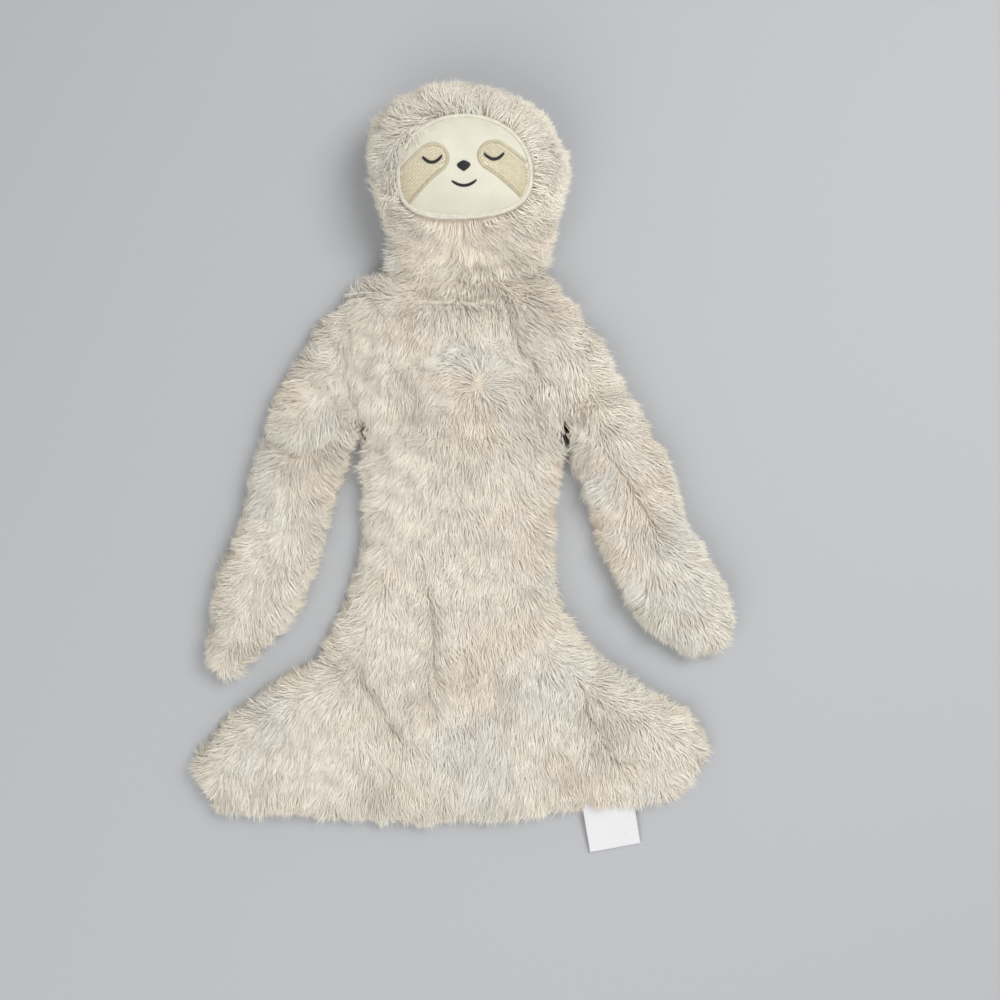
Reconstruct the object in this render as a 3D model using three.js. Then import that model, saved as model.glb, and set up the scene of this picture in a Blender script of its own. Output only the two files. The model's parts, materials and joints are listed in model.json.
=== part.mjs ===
// A sloth comfort blanket: a stuffed head, a lightly stuffed chest, two long padded arms and a flared
// blanket body, sewn from long-pile fabric, with an embroidered face and a bare label tab in the hem.
// It lies on its back. Millimetres, +X to the viewer's right, +Y towards the crown, +Z up through the face.
// Left and right in names are the toy's own, so its left arm is on the +X side.
import * as THREE from "three";

// Cloth and the gaps of sewn work
const FABRIC = 4; // backing and the dense foot of the pile
const SEAM_GAP = 0.3; // between the two panels that meet in a seam, and round the stuffing
const PANEL_EDGE = 0.45; // height of a panel's edge above or below the seam
const HINGE_SETBACK = 0.45; // from the line that a sewn joint bends on to the panels on each side
const PANEL_SEAT_GAP = 0.85; // under the face panel and its border, which bridge the pile's foot
const SEAT_GAP = 0.35; // under each piece of stitching
const FLAP_GAP = 0.4; // between the edges of flat pieces that lie side by side

// Where the sewn joints run
const SEAM_HEIGHT = 9; // of every joint's bend line above the surface that the toy lies on
const NECK_Y = 114;
const NECK_RIGHT_X = -44;
const NECK_LEFT_X = 46;
const SHOULDER_Y = 90;
const SHOULDER_RIGHT_X = -79;
const SHOULDER_LEFT_X = 69;
const WAIST_Y = 28;
const WAIST_RIGHT_X = -58.5;
const WAIST_LEFT_X = 60;

// How far each piece reaches from its joint
const HEAD_WIDTH = 110;
const HEAD_LENGTH = 103;
const LEFT_ARM_REACH = 87; // sideways, past the shoulder
const LEFT_ARM_LENGTH = 191; // down from the shoulder
const RIGHT_ARM_REACH = 66.5;
const RIGHT_ARM_LENGTH = 201.5;
const BLANKET_FLARE = 97; // sideways, past the waist
const BLANKET_LENGTH = 214; // to the hem's corners

// How far each panel swells from its seam, the width over which a free edge rounds up to that,
// and the slope at which it rises beside a sewn joint, so that the joint has room to fold
const ROUNDNESS = 2.2; // 2 rounds an edge as a quarter ellipse, and more is squarer
const JOINT_BLEND = 3; // a higher number keeps a sharper corner where the slope meets the swell
const CHEST_SWELL = { height: 18, round: 26, slope: 1.2 };
const ARM_SWELL = { height: 14, round: 20, slope: 1.2 };
const BLANKET_SWELL = { height: 10, round: 17, slope: 1 };
const HEAD_SWELL = { height: 40, round: 46, slope: 1.6 };
const BACK_SWELL = { height: 9.5, round: 10, slope: 1 };
const HEAD_BACK_SWELL = { height: 29, round: 26, slope: 1 };
const HEM_HEIGHT = 5; // of the seam at the hem
const HEAD_SEAM_HEIGHT = 26; // of the head's side seam
const HEAD_SEAM_RUN = 36; // over which that seam climbs from the neck

// Creases in the blanket's front, each a shallow valley
const CREASE_DEPTH = 3.5;
const CREASE_WIDTH = 10;

// The face. Its frame is level and centred where the panel is widest.
const FACE_X = 2.7;
const FACE_RISE = 47; // of that centre above the neck
const FACE_TILT = 2.5; // degrees, anticlockwise
const FACE_HALF_WIDTH = 36;
const FACE_ABOVE = 31; // the panel's height above its widest line
const FACE_BELOW = 24.5;
const FACE_ABOVE_POWER = 2; // an ellipse
const FACE_BELOW_POWER = 2.7; // squarer
const FACE_THICKNESS = 1.2;
const BORDER_WIDTH = 2.4;
const BORDER_THICKNESS = 1.6;
const STITCH_THICKNESS = 0.8;
const PATCH_WIDTH = 17;
const PATCH_SLANT = 36; // degrees below level, outwards
const PATCH_X = 9; // of the patch's round inner end, from the middle of the face
const PATCH_Y = 12.5;
const EYELID_SPAN = 10.5;
const EYELID_DROP = 3.2;
const EYELID_X = 16.5;
const EYELID_Y = 9;
const NOSE_WIDTH = 7.4;
const NOSE_HEIGHT = 5.2;
const NOSE_Y = 3;
const MOUTH_SPAN = 13;
const MOUTH_DROP = 2.6;
const MOUTH_Y = -4.5;
const THREAD_WIDTH = 1.6; // of the dark stitched lines

// The label tab, a folded satin tape that bends at the hem
const LABEL_WIDTH = 30;
const LABEL_LENGTH = 28;
const LABEL_TAPE = 0.4;
const LABEL_FOLD_GAP = 0.6; // between the tape's two leaves
const LABEL_X = 84.5; // where it is sewn into the hem
const LABEL_BEND = 1.1; // from the hem out to the line that the tab bends on
const LABEL_ROOT = 0.4; // from the hem out to the tab's sewn end
const LABEL_REST = 0.6; // from the surface that the toy lies on up to the tab's far end

// Side edges of each plan, from the sewn joint to the far end. The pile's tips stand about 3 mm outside.
// Each point is a share of the piece's width, outwards, and of its length, away from the joint.
const point = (x, y) => new THREE.Vector2(x, y);
const sideEdge = (corner, width, length, places) =>
  places.map(([across, away]) => point(corner.x + width * across, corner.y + length * away));
const NECK = [point(NECK_RIGHT_X, NECK_Y), point(NECK_LEFT_X, NECK_Y)];
const SHOULDER = [point(SHOULDER_RIGHT_X, SHOULDER_Y), point(SHOULDER_LEFT_X, SHOULDER_Y)];
const WAIST = [point(WAIST_RIGHT_X, WAIST_Y), point(WAIST_LEFT_X, WAIST_Y)];
const HEAD_RIGHT = sideEdge(NECK[0], -HEAD_WIDTH, HEAD_LENGTH, [
  [-0.032, 0.126], [-0.023, 0.282], [0.023, 0.427], [0.064, 0.612], [0.023, 0.796], [-0.145, 0.947],
  [-0.309, 1],
]);
const HEAD_LEFT = sideEdge(NECK[1], HEAD_WIDTH, HEAD_LENGTH, [
  [0.014, 0.126], [0.045, 0.252], [0.091, 0.388], [0.118, 0.553], [0.059, 0.738], [-0.082, 0.898],
  [-0.291, 0.99],
]);
const LEFT_ARM_OUTER = sideEdge(SHOULDER[1], LEFT_ARM_REACH, -LEFT_ARM_LENGTH, [
  [0.115, 0.078], [0.27, 0.209], [0.454, 0.356], [0.586, 0.461], [0.672, 0.602], [0.839, 0.723],
  [0.96, 0.827], [1, 0.927], [0.908, 0.992],
]);
const LEFT_ARM_INNER = sideEdge(WAIST[1], LEFT_ARM_REACH, -LEFT_ARM_LENGTH, [
  [0.052, 0.084], [0.126, 0.178], [0.207, 0.277], [0.282, 0.372], [0.345, 0.445], [0.425, 0.529],
  [0.517, 0.589], [0.644, 0.639], [0.816, 0.675],
]);
const RIGHT_ARM_OUTER = sideEdge(SHOULDER[0], -RIGHT_ARM_REACH, -RIGHT_ARM_LENGTH, [
  [0.135, 0.089], [0.368, 0.203], [0.534, 0.347], [0.639, 0.486], [0.722, 0.595], [0.872, 0.714],
  [0.947, 0.828], [1, 0.948], [0.94, 1],
]);
const RIGHT_ARM_INNER = sideEdge(WAIST[0], -RIGHT_ARM_REACH, -RIGHT_ARM_LENGTH, [
  [0.12, 0.069], [0.233, 0.154], [0.286, 0.248], [0.361, 0.342], [0.481, 0.444], [0.586, 0.531],
  [0.774, 0.6], [0.985, 0.65], [1.12, 0.69],
]);
const BLANKET_RIGHT = sideEdge(WAIST[0], -BLANKET_FLARE, -BLANKET_LENGTH, [
  [-0.031, 0.14], [-0.015, 0.341], [0.077, 0.486], [0.263, 0.638], [0.644, 0.736], [0.943, 0.864],
  [1, 0.916], [0.84, 1],
]);
const BLANKET_LEFT = sideEdge(WAIST[1], BLANKET_FLARE, -BLANKET_LENGTH, [
  [-0.067, 0.14], [-0.093, 0.341], [-0.021, 0.5], [0.227, 0.647], [0.536, 0.727], [0.835, 0.818],
  [0.84, 0.879], [0.639, 0.977],
]);
const CREASES = [
  sideEdge(WAIST[0], -BLANKET_FLARE, -BLANKET_LENGTH, [[0.077, 0.607], [-0.17, 0.813]]),
  sideEdge(WAIST[1], BLANKET_FLARE, -BLANKET_LENGTH, [[0.124, 0.78], [0.309, 0.897]]),
];
const HEM_BOW = 16; // how far the hem bows below a straight line between its corners
const HEM_BOW_RUN = 70; // over which the rows above it straighten

// Rows and columns of points in each plan. Rows count from the sewn joint to the far end.
const EDGE_STEPS = [0, 3, 8]; // the first lie at these distances in from each edge
const STUFFED_FROM = 2; // which of those steps the stuffing starts at
const CHEST_COLUMNS = 6;
const HEAD_ROWS = 11;
const HEAD_COLUMNS = 11;
const ARM_ROWS = 10;
const ARM_COLUMNS = 2;
const BLANKET_ROWS = 10;
const BLANKET_COLUMNS = 8;

// Colours
const CREAM_PILE = 0xded2c6;
const PANEL_CREAM = 0xe9e1d0;
const BORDER_CREAM = 0xe2d8c3;
const TAN_THREAD = 0xc9b590;
const DARK_THREAD = 0x2a2728;
const WHITE_SATIN = 0xf0f0f2;
const WADDING = 0xf4f2ee;

// Plans

const smooth = (share) => THREE.MathUtils.smoothstep(share, 0, 1);

// A point moved by a distance along a direction.
const moved = (p, direction, distance) =>
  p.clone().addScaledVector(direction.clone().normalize(), distance);

// Shares of a run that are close together at both ends and even between them.
function shares(length, middle) {
  const most = 0.3; // of the run, on edge steps
  const near = EDGE_STEPS.map((step, i) => Math.min(step / length, (most * i) / EDGE_STEPS.length));
  const from = near.at(-1);
  const between = Array.from({ length: middle }, (_, i) => {
    return THREE.MathUtils.lerp(from, 1 - from, (i + 1) / (middle + 1));
  });
  return [...near, ...between, ...near.map((s) => 1 - s).reverse()];
}

// Rows of points between two sides, from the sewn joint to the far end. bow lowers a row's middle.
function planGrid(sides, rows, columns, bow = () => 0) {
  const curves = sides.map((side) => {
    const places = side.map((p) => new THREE.Vector3(p.x, p.y, 0));
    return new THREE.CatmullRomCurve3(places, false, "centripetal");
  });
  const length = (curves[0].getLength() + curves[1].getLength()) / 2;
  return shares(length, rows).map((t) => {
    const [a, b] = curves.map((curve) => curve.getPointAt(t));
    return shares(a.distanceTo(b), columns).map((u) => {
      const p = a.clone().lerp(b, u);
      return point(p.x, p.y - bow((1 - t) * length) * 4 * u * (1 - u));
    });
  });
}

const firstOf = (grid) => grid.map((row) => row[0]);
const lastOf = (grid) => grid.map((row) => row.at(-1));

function distanceToRuns(p, runs) {
  const place = new THREE.Vector3(p.x, p.y, 0);
  const near = new THREE.Vector3();
  const to = (a, b) => {
    const line = new THREE.Line3(new THREE.Vector3(a.x, a.y, 0), new THREE.Vector3(b.x, b.y, 0));
    return line.closestPointToPoint(place, true, near).distanceTo(place);
  };
  return Math.min(Infinity, ...runs.flatMap((run) => run.slice(1).map((q, i) => to(run[i], q))));
}

// Solids

// Turned the right way round if its faces point in.
function closedGeometry(places, faces) {
  const at = (k) => new THREE.Vector3().fromArray(places, 3 * k);
  let volume = 0;
  for (let f = 0; f < faces.length; f += 3)
    volume += at(faces[f]).dot(at(faces[f + 1]).cross(at(faces[f + 2])));
  const geometry = new THREE.BufferGeometry();
  geometry.setAttribute("position", new THREE.Float32BufferAttribute(places, 3));
  geometry.setIndex(volume < 0 ? [...faces].reverse() : faces);
  geometry.computeVertexNormals();
  return geometry;
}

// A closed solid over a plan, between two heights given at each of its points.
function slab(grid, low, high) {
  const columns = grid[0].length;
  const places = [];
  const faces = [];
  const corner = (i, j, top) => 2 * (i * columns + j) + top;
  const quad = (a, b, c, d) => faces.push(a, b, c, a, c, d);
  const wall = (i, j, k, l) => quad(corner(i, j, 0), corner(k, l, 0), corner(k, l, 1), corner(i, j, 1));
  grid.forEach((row, i) =>
    row.forEach((p, j) => places.push(p.x, p.y, low(p, i, j), p.x, p.y, high(p, i, j))),
  );
  for (let i = 1; i < grid.length; i++)
    for (let j = 1; j < columns; j++) {
      const ring = [corner(i - 1, j - 1, 0), corner(i, j - 1, 0), corner(i, j, 0), corner(i - 1, j, 0)];
      const [a, b, c, d] = ring.map((k) => k + 1);
      faces.push(a, b, c, a, c, d);
      faces.push(ring[0], ring[2], ring[1], ring[0], ring[3], ring[2]);
    }
  for (let j = 1; j < columns; j++) {
    wall(0, j, 0, j - 1);
    wall(grid.length - 1, j - 1, grid.length - 1, j);
  }
  for (let i = 1; i < grid.length; i++) {
    wall(i - 1, 0, i, 0);
    wall(i, columns - 1, i - 1, columns - 1);
  }
  return closedGeometry(places, faces);
}

// How high a panel stands at a distance from its free edges and from its sewn joints.
function swollen({ free, joint }, { height, round, slope }) {
  const rounded = height * (1 - (1 - Math.min(free / round, 1)) ** ROUNDNESS) ** (1 / ROUNDNESS);
  const ramp = joint * slope;
  if (Math.min(rounded, ramp) <= 0) return PANEL_EDGE;
  return PANEL_EDGE + (rounded ** -JOINT_BLEND + ramp ** -JOINT_BLEND) ** (-1 / JOINT_BLEND);
}

// A stuffed piece: front and back panels that meet in a seam, and the filling between them.
function stuffed({ grid, free, joints, seam, front, back, crease = () => 0 }) {
  const apart = new Map(
    grid.flat().map((p) => [p, { free: distanceToRuns(p, free), joint: distanceToRuns(p, joints) }]),
  );
  const above = (p) => swollen(apart.get(p), front) - crease(p);
  const below = (p) => Math.min(seam(p), swollen(apart.get(p), back)); // flat where it lies
  const edges = (i, j) => Math.min(i, j, grid.length - 1 - i, grid[0].length - 1 - j);
  const hollow = (height, i, j) => (edges(i, j) < STUFFED_FROM ? 0 : Math.max(height - FABRIC, 0));
  const from = STUFFED_FROM;
  const filled = grid.slice(from, -from).map((row) => row.slice(from, -from));
  return {
    grid,
    top: (p) => seam(p) + above(p),
    front: slab(
      grid,
      (p, i, j) => seam(p) + SEAM_GAP / 2 + hollow(above(p), i, j),
      (p) => seam(p) + above(p),
    ),
    back: slab(
      grid,
      (p) => seam(p) - below(p),
      (p, i, j) => seam(p) - SEAM_GAP / 2 - hollow(below(p), i, j),
    ),
    filling: slab(
      filled,
      (p, i, j) => seam(p) - hollow(below(p), i + from, j + from) + SEAM_GAP,
      (p, i, j) => seam(p) + hollow(above(p), i + from, j + from) - SEAM_GAP,
    ),
  };
}

// The stuffed pieces

// Its corners stand back from each bend line that meets there.
function chest() {
  const up = point(0, 1);
  const inward = [0, 1].map((k) => {
    const along = SHOULDER[k].clone().sub(WAIST[k]);
    return point(along.y, -along.x).multiplyScalar(k === 0 ? 1 : -1);
  });
  const corner = (p, k, rise) => moved(moved(p, inward[k], HINGE_SETBACK), up, rise);
  const waist = WAIST.map((p, k) => corner(p, k, HINGE_SETBACK));
  const shoulder = SHOULDER.map((p, k) => corner(p, k, 0));
  const neck = NECK.map((p) => moved(p, up, -HINGE_SETBACK));
  const lower = planGrid([0, 1].map((k) => [waist[k], shoulder[k]]), 1, CHEST_COLUMNS);
  const upper = planGrid([0, 1].map((k) => [shoulder[k], neck[k]]), 0, CHEST_COLUMNS);
  return stuffed({
    grid: [...lower, ...upper.slice(1)],
    free: [firstOf(upper), lastOf(upper)],
    joints: [lower[0], upper.at(-1), firstOf(lower), lastOf(lower)],
    seam: () => SEAM_HEIGHT,
    front: CHEST_SWELL,
    back: BACK_SWELL,
  });
}

// side is 0 for the toy's right arm and 1 for its left.
function arm(side, outer, inner) {
  const along = SHOULDER[side].clone().sub(WAIST[side]);
  const outward = point(along.y, -along.x).multiplyScalar(side === 0 ? -1 : 1);
  const shoulder = moved(SHOULDER[side], outward, HINGE_SETBACK);
  const armpit = moved(WAIST[side], outward, HINGE_SETBACK);
  const grid = planGrid([[shoulder, ...outer], [armpit, ...inner]], ARM_ROWS, ARM_COLUMNS);
  return stuffed({
    grid,
    free: [firstOf(grid), lastOf(grid), grid.at(-1)],
    joints: [grid[0]],
    seam: () => SEAM_HEIGHT,
    front: ARM_SWELL,
    back: BACK_SWELL,
  });
}

function head() {
  const neck = NECK.map((p) => moved(p, point(0, 1), HINGE_SETBACK));
  const grid = planGrid([[neck[0], ...HEAD_RIGHT], [neck[1], ...HEAD_LEFT]], HEAD_ROWS, HEAD_COLUMNS);
  const climb = HEAD_SEAM_HEIGHT - SEAM_HEIGHT;
  return stuffed({
    grid,
    free: [firstOf(grid), lastOf(grid), grid.at(-1)],
    joints: [grid[0]],
    seam: (p) => SEAM_HEIGHT + climb * smooth((p.y - NECK_Y) / HEAD_SEAM_RUN),
    front: HEAD_SWELL,
    back: HEAD_BACK_SWELL,
  });
}

function blanket() {
  const waist = WAIST.map((p) => moved(p, point(0, -1), HINGE_SETBACK));
  const bow = (fromHem) => HEM_BOW * smooth(1 - fromHem / HEM_BOW_RUN);
  const sides = [[waist[0], ...BLANKET_RIGHT], [waist[1], ...BLANKET_LEFT]];
  const grid = planGrid(sides, BLANKET_ROWS, BLANKET_COLUMNS, bow);
  const hemY = Math.min(...grid.at(-1).map((p) => p.y));
  const valley = (run, p) => {
    const beside = distanceToRuns(p, [run]) / CREASE_WIDTH;
    return CREASE_DEPTH * Math.exp(-beside * beside);
  };
  return stuffed({
    grid,
    free: [firstOf(grid), lastOf(grid), grid.at(-1)],
    joints: [grid[0]],
    seam: (p) => THREE.MathUtils.mapLinear(p.y, WAIST_Y, hemY, SEAM_HEIGHT, HEM_HEIGHT),
    front: BLANKET_SWELL,
    back: BACK_SWELL,
    crease: (p) => Math.max(...CREASES.map((run) => valley(run, p))),
  });
}

// The face

// The height of a stuffed piece's front at any point of its plan, on its flat facets.
function facetHeight({ grid, top }) {
  const facets = [];
  for (let i = 1; i < grid.length; i++)
    for (let j = 1; j < grid[0].length; j++) {
      const [a, b, c, d] = [grid[i - 1][j - 1], grid[i - 1][j], grid[i][j], grid[i][j - 1]];
      facets.push([a, b, c], [a, c, d]);
    }
  const flat = facets.map((facet) => {
    return new THREE.Triangle(...facet.map((p) => new THREE.Vector3(p.x, p.y, 0)));
  });
  return (x, y) => {
    const place = new THREE.Vector3(x, y, 0);
    const k = flat.findIndex((triangle) => triangle.containsPoint(place));
    if (k < 0) throw new Error(`the face reaches past the head at ${x.toFixed(1)}, ${y.toFixed(1)}`);
    const share = flat[k].getBarycoord(place, new THREE.Vector3());
    return share.dot(new THREE.Vector3(...facets[k].map(top)));
  };
}

// From the face's own frame to the toy's.
function onFace([x, y]) {
  const turned = point(x, y).rotateAround(point(0, 0), THREE.MathUtils.degToRad(FACE_TILT));
  return point(turned.x + FACE_X, turned.y + NECK_Y + FACE_RISE);
}

// A flat piece that follows the head's front, from rows of points in the face's frame.
function flatPiece(rows, headHeight, lift, thickness) {
  const grid = rows.map((row) => row.map(onFace));
  const base = (p) => headHeight(p.x, p.y) + lift;
  return slab(grid, base, (p) => base(p) + thickness);
}

// Stitching on the face panel, or on the stitching that is on it already.
function stitched(rows, headHeight, layersBelow = 0) {
  const onPanel = PANEL_SEAT_GAP + FACE_THICKNESS + SEAT_GAP;
  const lift = onPanel + layersBelow * (STITCH_THICKNESS + SEAT_GAP);
  return flatPiece(rows, headHeight, lift, STITCH_THICKNESS);
}

// The half width of the face panel's outline at a height in the face's frame, grown by grow all round.
function faceHalfWidth(y, grow) {
  const [reach, power] = y > 0 ? [FACE_ABOVE, FACE_ABOVE_POWER] : [FACE_BELOW, FACE_BELOW_POWER];
  const share = Math.min(Math.abs(y) / (reach + grow), 1);
  return (FACE_HALF_WIDTH + grow) * (1 - share ** power) ** (1 / power);
}

// A point on that outline at a turn from its right end.
function faceRim(turn, grow) {
  const upper = Math.sin(turn) > 0;
  const [reach, power] = upper ? [FACE_ABOVE, FACE_ABOVE_POWER] : [FACE_BELOW, FACE_BELOW_POWER];
  const squared = (v) => Math.sign(v) * Math.abs(v) ** (2 / power);
  return [(FACE_HALF_WIDTH + grow) * squared(Math.cos(turn)), (reach + grow) * squared(Math.sin(turn))];
}

function facePanel(headHeight) {
  const rows = 14;
  const columns = 14;
  const end = 0.04; // of the half turn, left off at the top and at the bottom
  const inset = BORDER_WIDTH / 2 + FLAP_GAP;
  const made = Array.from({ length: rows + 1 }, (_, i) => {
    const turn = THREE.MathUtils.lerp(end - 0.5, 0.5 - end, i / rows) * Math.PI;
    const [half, y] = faceRim(turn, -inset);
    return Array.from({ length: columns + 1 }, (_, j) => [half * ((2 * j) / columns - 1), y]);
  });
  return flatPiece(made, headHeight, PANEL_SEAT_GAP, FACE_THICKNESS);
}

function faceBorder(headHeight) {
  const steps = 48;
  const places = [];
  const faces = [];
  for (let i = 0; i < steps; i++)
    for (const grow of [-BORDER_WIDTH / 2, BORDER_WIDTH / 2]) {
      const p = onFace(faceRim((2 * Math.PI * i) / steps, grow));
      const base = headHeight(p.x, p.y) + PANEL_SEAT_GAP;
      places.push(p.x, p.y, base, p.x, p.y, base + BORDER_THICKNESS);
    }
  const around = [0, 1, 3, 2]; // the section's corners in order
  for (let i = 0; i < steps; i++)
    around.forEach((p, k) => {
      const q = around[(k + 1) % around.length];
      const [a, b] = [4 * i, 4 * ((i + 1) % steps)];
      faces.push(a + p, a + q, b + q, a + p, b + q, b + p);
    });
  return closedGeometry(places, faces);
}

// Round at its inner end, slanting down and outwards to the panel's border. side is 1 on +X.
function eyePatch(side, headHeight) {
  const rows = 5;
  const columns = 6;
  const slant = THREE.MathUtils.degToRad(PATCH_SLANT);
  const along = point(Math.cos(slant), -Math.sin(slant));
  const beside = point(-along.y, along.x);
  const half = PATCH_WIDTH / 2;
  const clear = -(BORDER_WIDTH / 2 + FLAP_GAP);
  const tolerance = 0.01;
  const at = (s, off) => moved(moved(point(PATCH_X, PATCH_Y), along, s), beside, off);
  const inside = (p) => p.x < faceHalfWidth(p.y, clear);
  const made = Array.from({ length: rows + 1 }, (_, i) =>
    Array.from({ length: columns + 1 }, (_, j) => {
      const off = -half * Math.cos((Math.PI * j) / columns);
      let [from, to] = [0, 2 * FACE_HALF_WIDTH];
      while (to - from > tolerance) {
        const middle = (from + to) / 2;
        if (inside(at(middle, off))) from = middle;
        else to = middle;
      }
      const start = half - Math.sqrt(Math.max(half * half - off * off, 0));
      const p = at(THREE.MathUtils.lerp(start, from, i / rows), off);
      return [side * p.x, p.y];
    }),
  );
  return stitched(made, headHeight);
}

// A line of dark stitches that sags by drop between its ends and narrows towards them.
function stitchedBow(x, y, span, drop, headHeight, layersBelow = 0) {
  const rows = 10;
  const endWidth = 0.45; // as a share of the middle's
  const made = Array.from({ length: rows + 1 }, (_, i) => {
    const s = (2 * i) / rows - 1;
    const half = (THREAD_WIDTH / 2) * THREE.MathUtils.lerp(1, endWidth, s ** 4);
    const middle = point(x + (s * span) / 2, y + drop * (s * s - 1));
    const normal = point((-4 * drop * s) / span, 1);
    return [-1, 1].map((k) => moved(middle, normal, k * half).toArray());
  });
  return stitched(made, headHeight, layersBelow);
}

// An oval that is broader above.
function nose(headHeight) {
  const rows = 6;
  const end = 0.05; // of the height, left off at the top and at the bottom
  const lift = 1.35; // over 1 moves the broadest line up
  const fullness = 0.6; // under 1 fills the oval out
  const made = Array.from({ length: rows + 1 }, (_, i) => {
    const s = THREE.MathUtils.lerp(end, 1 - end, i / rows);
    const half = (NOSE_WIDTH / 2) * Math.sin(Math.PI * s ** lift) ** fullness;
    return [-1, 0, 1].map((k) => [k * half, NOSE_Y + NOSE_HEIGHT * (s - 0.5)]);
  });
  return stitched(made, headHeight);
}

// The label tab

// A folded strip: both leaves start at the hem and meet in a round fold at the far end.
function labelTab() {
  const thickness = 2 * LABEL_TAPE + LABEL_FOLD_GAP;
  const outer = thickness / 2;
  const inner = LABEL_FOLD_GAP / 2;
  const start = LABEL_ROOT - LABEL_BEND;
  const end = start + LABEL_LENGTH - outer;
  const profile = new THREE.Shape();
  profile.moveTo(start, -outer);
  profile.lineTo(end, -outer);
  profile.absarc(end, 0, outer, -Math.PI / 2, Math.PI / 2, false);
  profile.lineTo(start, outer);
  profile.lineTo(start, inner);
  profile.lineTo(end, inner);
  profile.absarc(end, 0, inner, Math.PI / 2, -Math.PI / 2, true);
  profile.lineTo(start, -inner);
  profile.closePath();
  const geometry = new THREE.ExtrudeGeometry(profile, {
    depth: LABEL_WIDTH,
    bevelEnabled: false,
    curveSegments: 6,
  });
  return geometry.translate(0, 0, -LABEL_WIDTH / 2);
}

// Places the tab on the hem, square to it, sloping down to the surface that the toy lies on.
function placeLabel(mesh, hem) {
  const k = hem.findIndex((p) => p.x > LABEL_X);
  const [a, b] = [hem[k - 1], hem[k]];
  const along = b.clone().sub(a).normalize();
  const out = point(along.y, -along.x);
  const root = moved(a.clone().lerp(b, (LABEL_X - a.x) / (b.x - a.x)), out, LABEL_BEND);
  const thickness = 2 * LABEL_TAPE + LABEL_FOLD_GAP;
  const fall = HEM_HEIGHT - LABEL_REST - thickness / 2;
  const down = Math.asin(fall / (LABEL_LENGTH + LABEL_ROOT - LABEL_BEND - thickness / 2));
  const length = new THREE.Vector3(out.x * Math.cos(down), out.y * Math.cos(down), -Math.sin(down));
  const width = new THREE.Vector3(-along.x, -along.y, 0);
  const up = new THREE.Vector3().crossVectors(width, length);
  mesh.quaternion.setFromRotationMatrix(new THREE.Matrix4().makeBasis(length, up, width));
  mesh.position.set(root.x, root.y, HEM_HEIGHT);
}

// The whole toy

const toy = new THREE.Group();

function add(parent, name, geometry, color, roughness = 0.95) {
  const mesh = new THREE.Mesh(geometry, new THREE.MeshStandardMaterial({ color, roughness, metalness: 0 }));
  mesh.name = name;
  parent.add(mesh);
  return mesh;
}

function addStuffed(name, { front, back, filling }, [frontName, backName, fillingName]) {
  const group = new THREE.Group();
  add(group, `${name}_${frontName}`, front, CREAM_PILE);
  add(group, `${name}_${backName}`, back, CREAM_PILE);
  add(group, `${name}_${fillingName}`, filling, WADDING);
  toy.add(group);
  return group;
}

const headPiece = head();
const blanketPiece = blanket();
const headGroup = addStuffed("head", headPiece, ["front_cover", "back_cover", "stuffing"]);
addStuffed("chest", chest(), ["front_cover", "back_cover", "stuffing"]);
addStuffed("left_arm", arm(1, LEFT_ARM_OUTER, LEFT_ARM_INNER), ["front_panel", "back_panel", "padding"]);
addStuffed("right_arm", arm(0, RIGHT_ARM_OUTER, RIGHT_ARM_INNER), ["front_panel", "back_panel", "padding"]);
addStuffed("blanket", blanketPiece, ["front_panel", "back_panel", "batting"]);

const headHeight = facetHeight(headPiece);
add(headGroup, "face_panel", facePanel(headHeight), PANEL_CREAM, 0.8);
add(headGroup, "face_edge_stitching", faceBorder(headHeight), BORDER_CREAM, 0.6);
for (const [name, side] of [["left", 1], ["right", -1]]) {
  const lid = stitchedBow(side * EYELID_X, EYELID_Y, EYELID_SPAN, EYELID_DROP, headHeight, 1);
  add(headGroup, `${name}_eye_patch`, eyePatch(side, headHeight), TAN_THREAD, 0.6);
  add(headGroup, `${name}_eyelid_stitching`, lid, DARK_THREAD, 0.6);
}
add(headGroup, "nose_stitching", nose(headHeight), DARK_THREAD, 0.6);
const mouth = stitchedBow(0, MOUTH_Y, MOUTH_SPAN, MOUTH_DROP, headHeight);
add(headGroup, "mouth_stitching", mouth, DARK_THREAD, 0.6);
placeLabel(add(toy, "label_tab", labelTab(), WHITE_SATIN, 0.4), blanketPiece.grid.at(-1));

export default toy;
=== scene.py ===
"""Dresses the solids of a sloth comfort blanket in pile fabric, stuffing, a stitched face and a label tab.

Metres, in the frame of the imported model: +X to the viewer's right, +Y to the crown, +Z up out of the face.
Left and right in names are the toy's own, so its left arm is on the +X side.
"""

import json
import math

import bmesh
import bpy
import numpy as np
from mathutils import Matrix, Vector, noise
from mathutils.bvhtree import BVHTree
from mathutils.kdtree import KDTree

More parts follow.
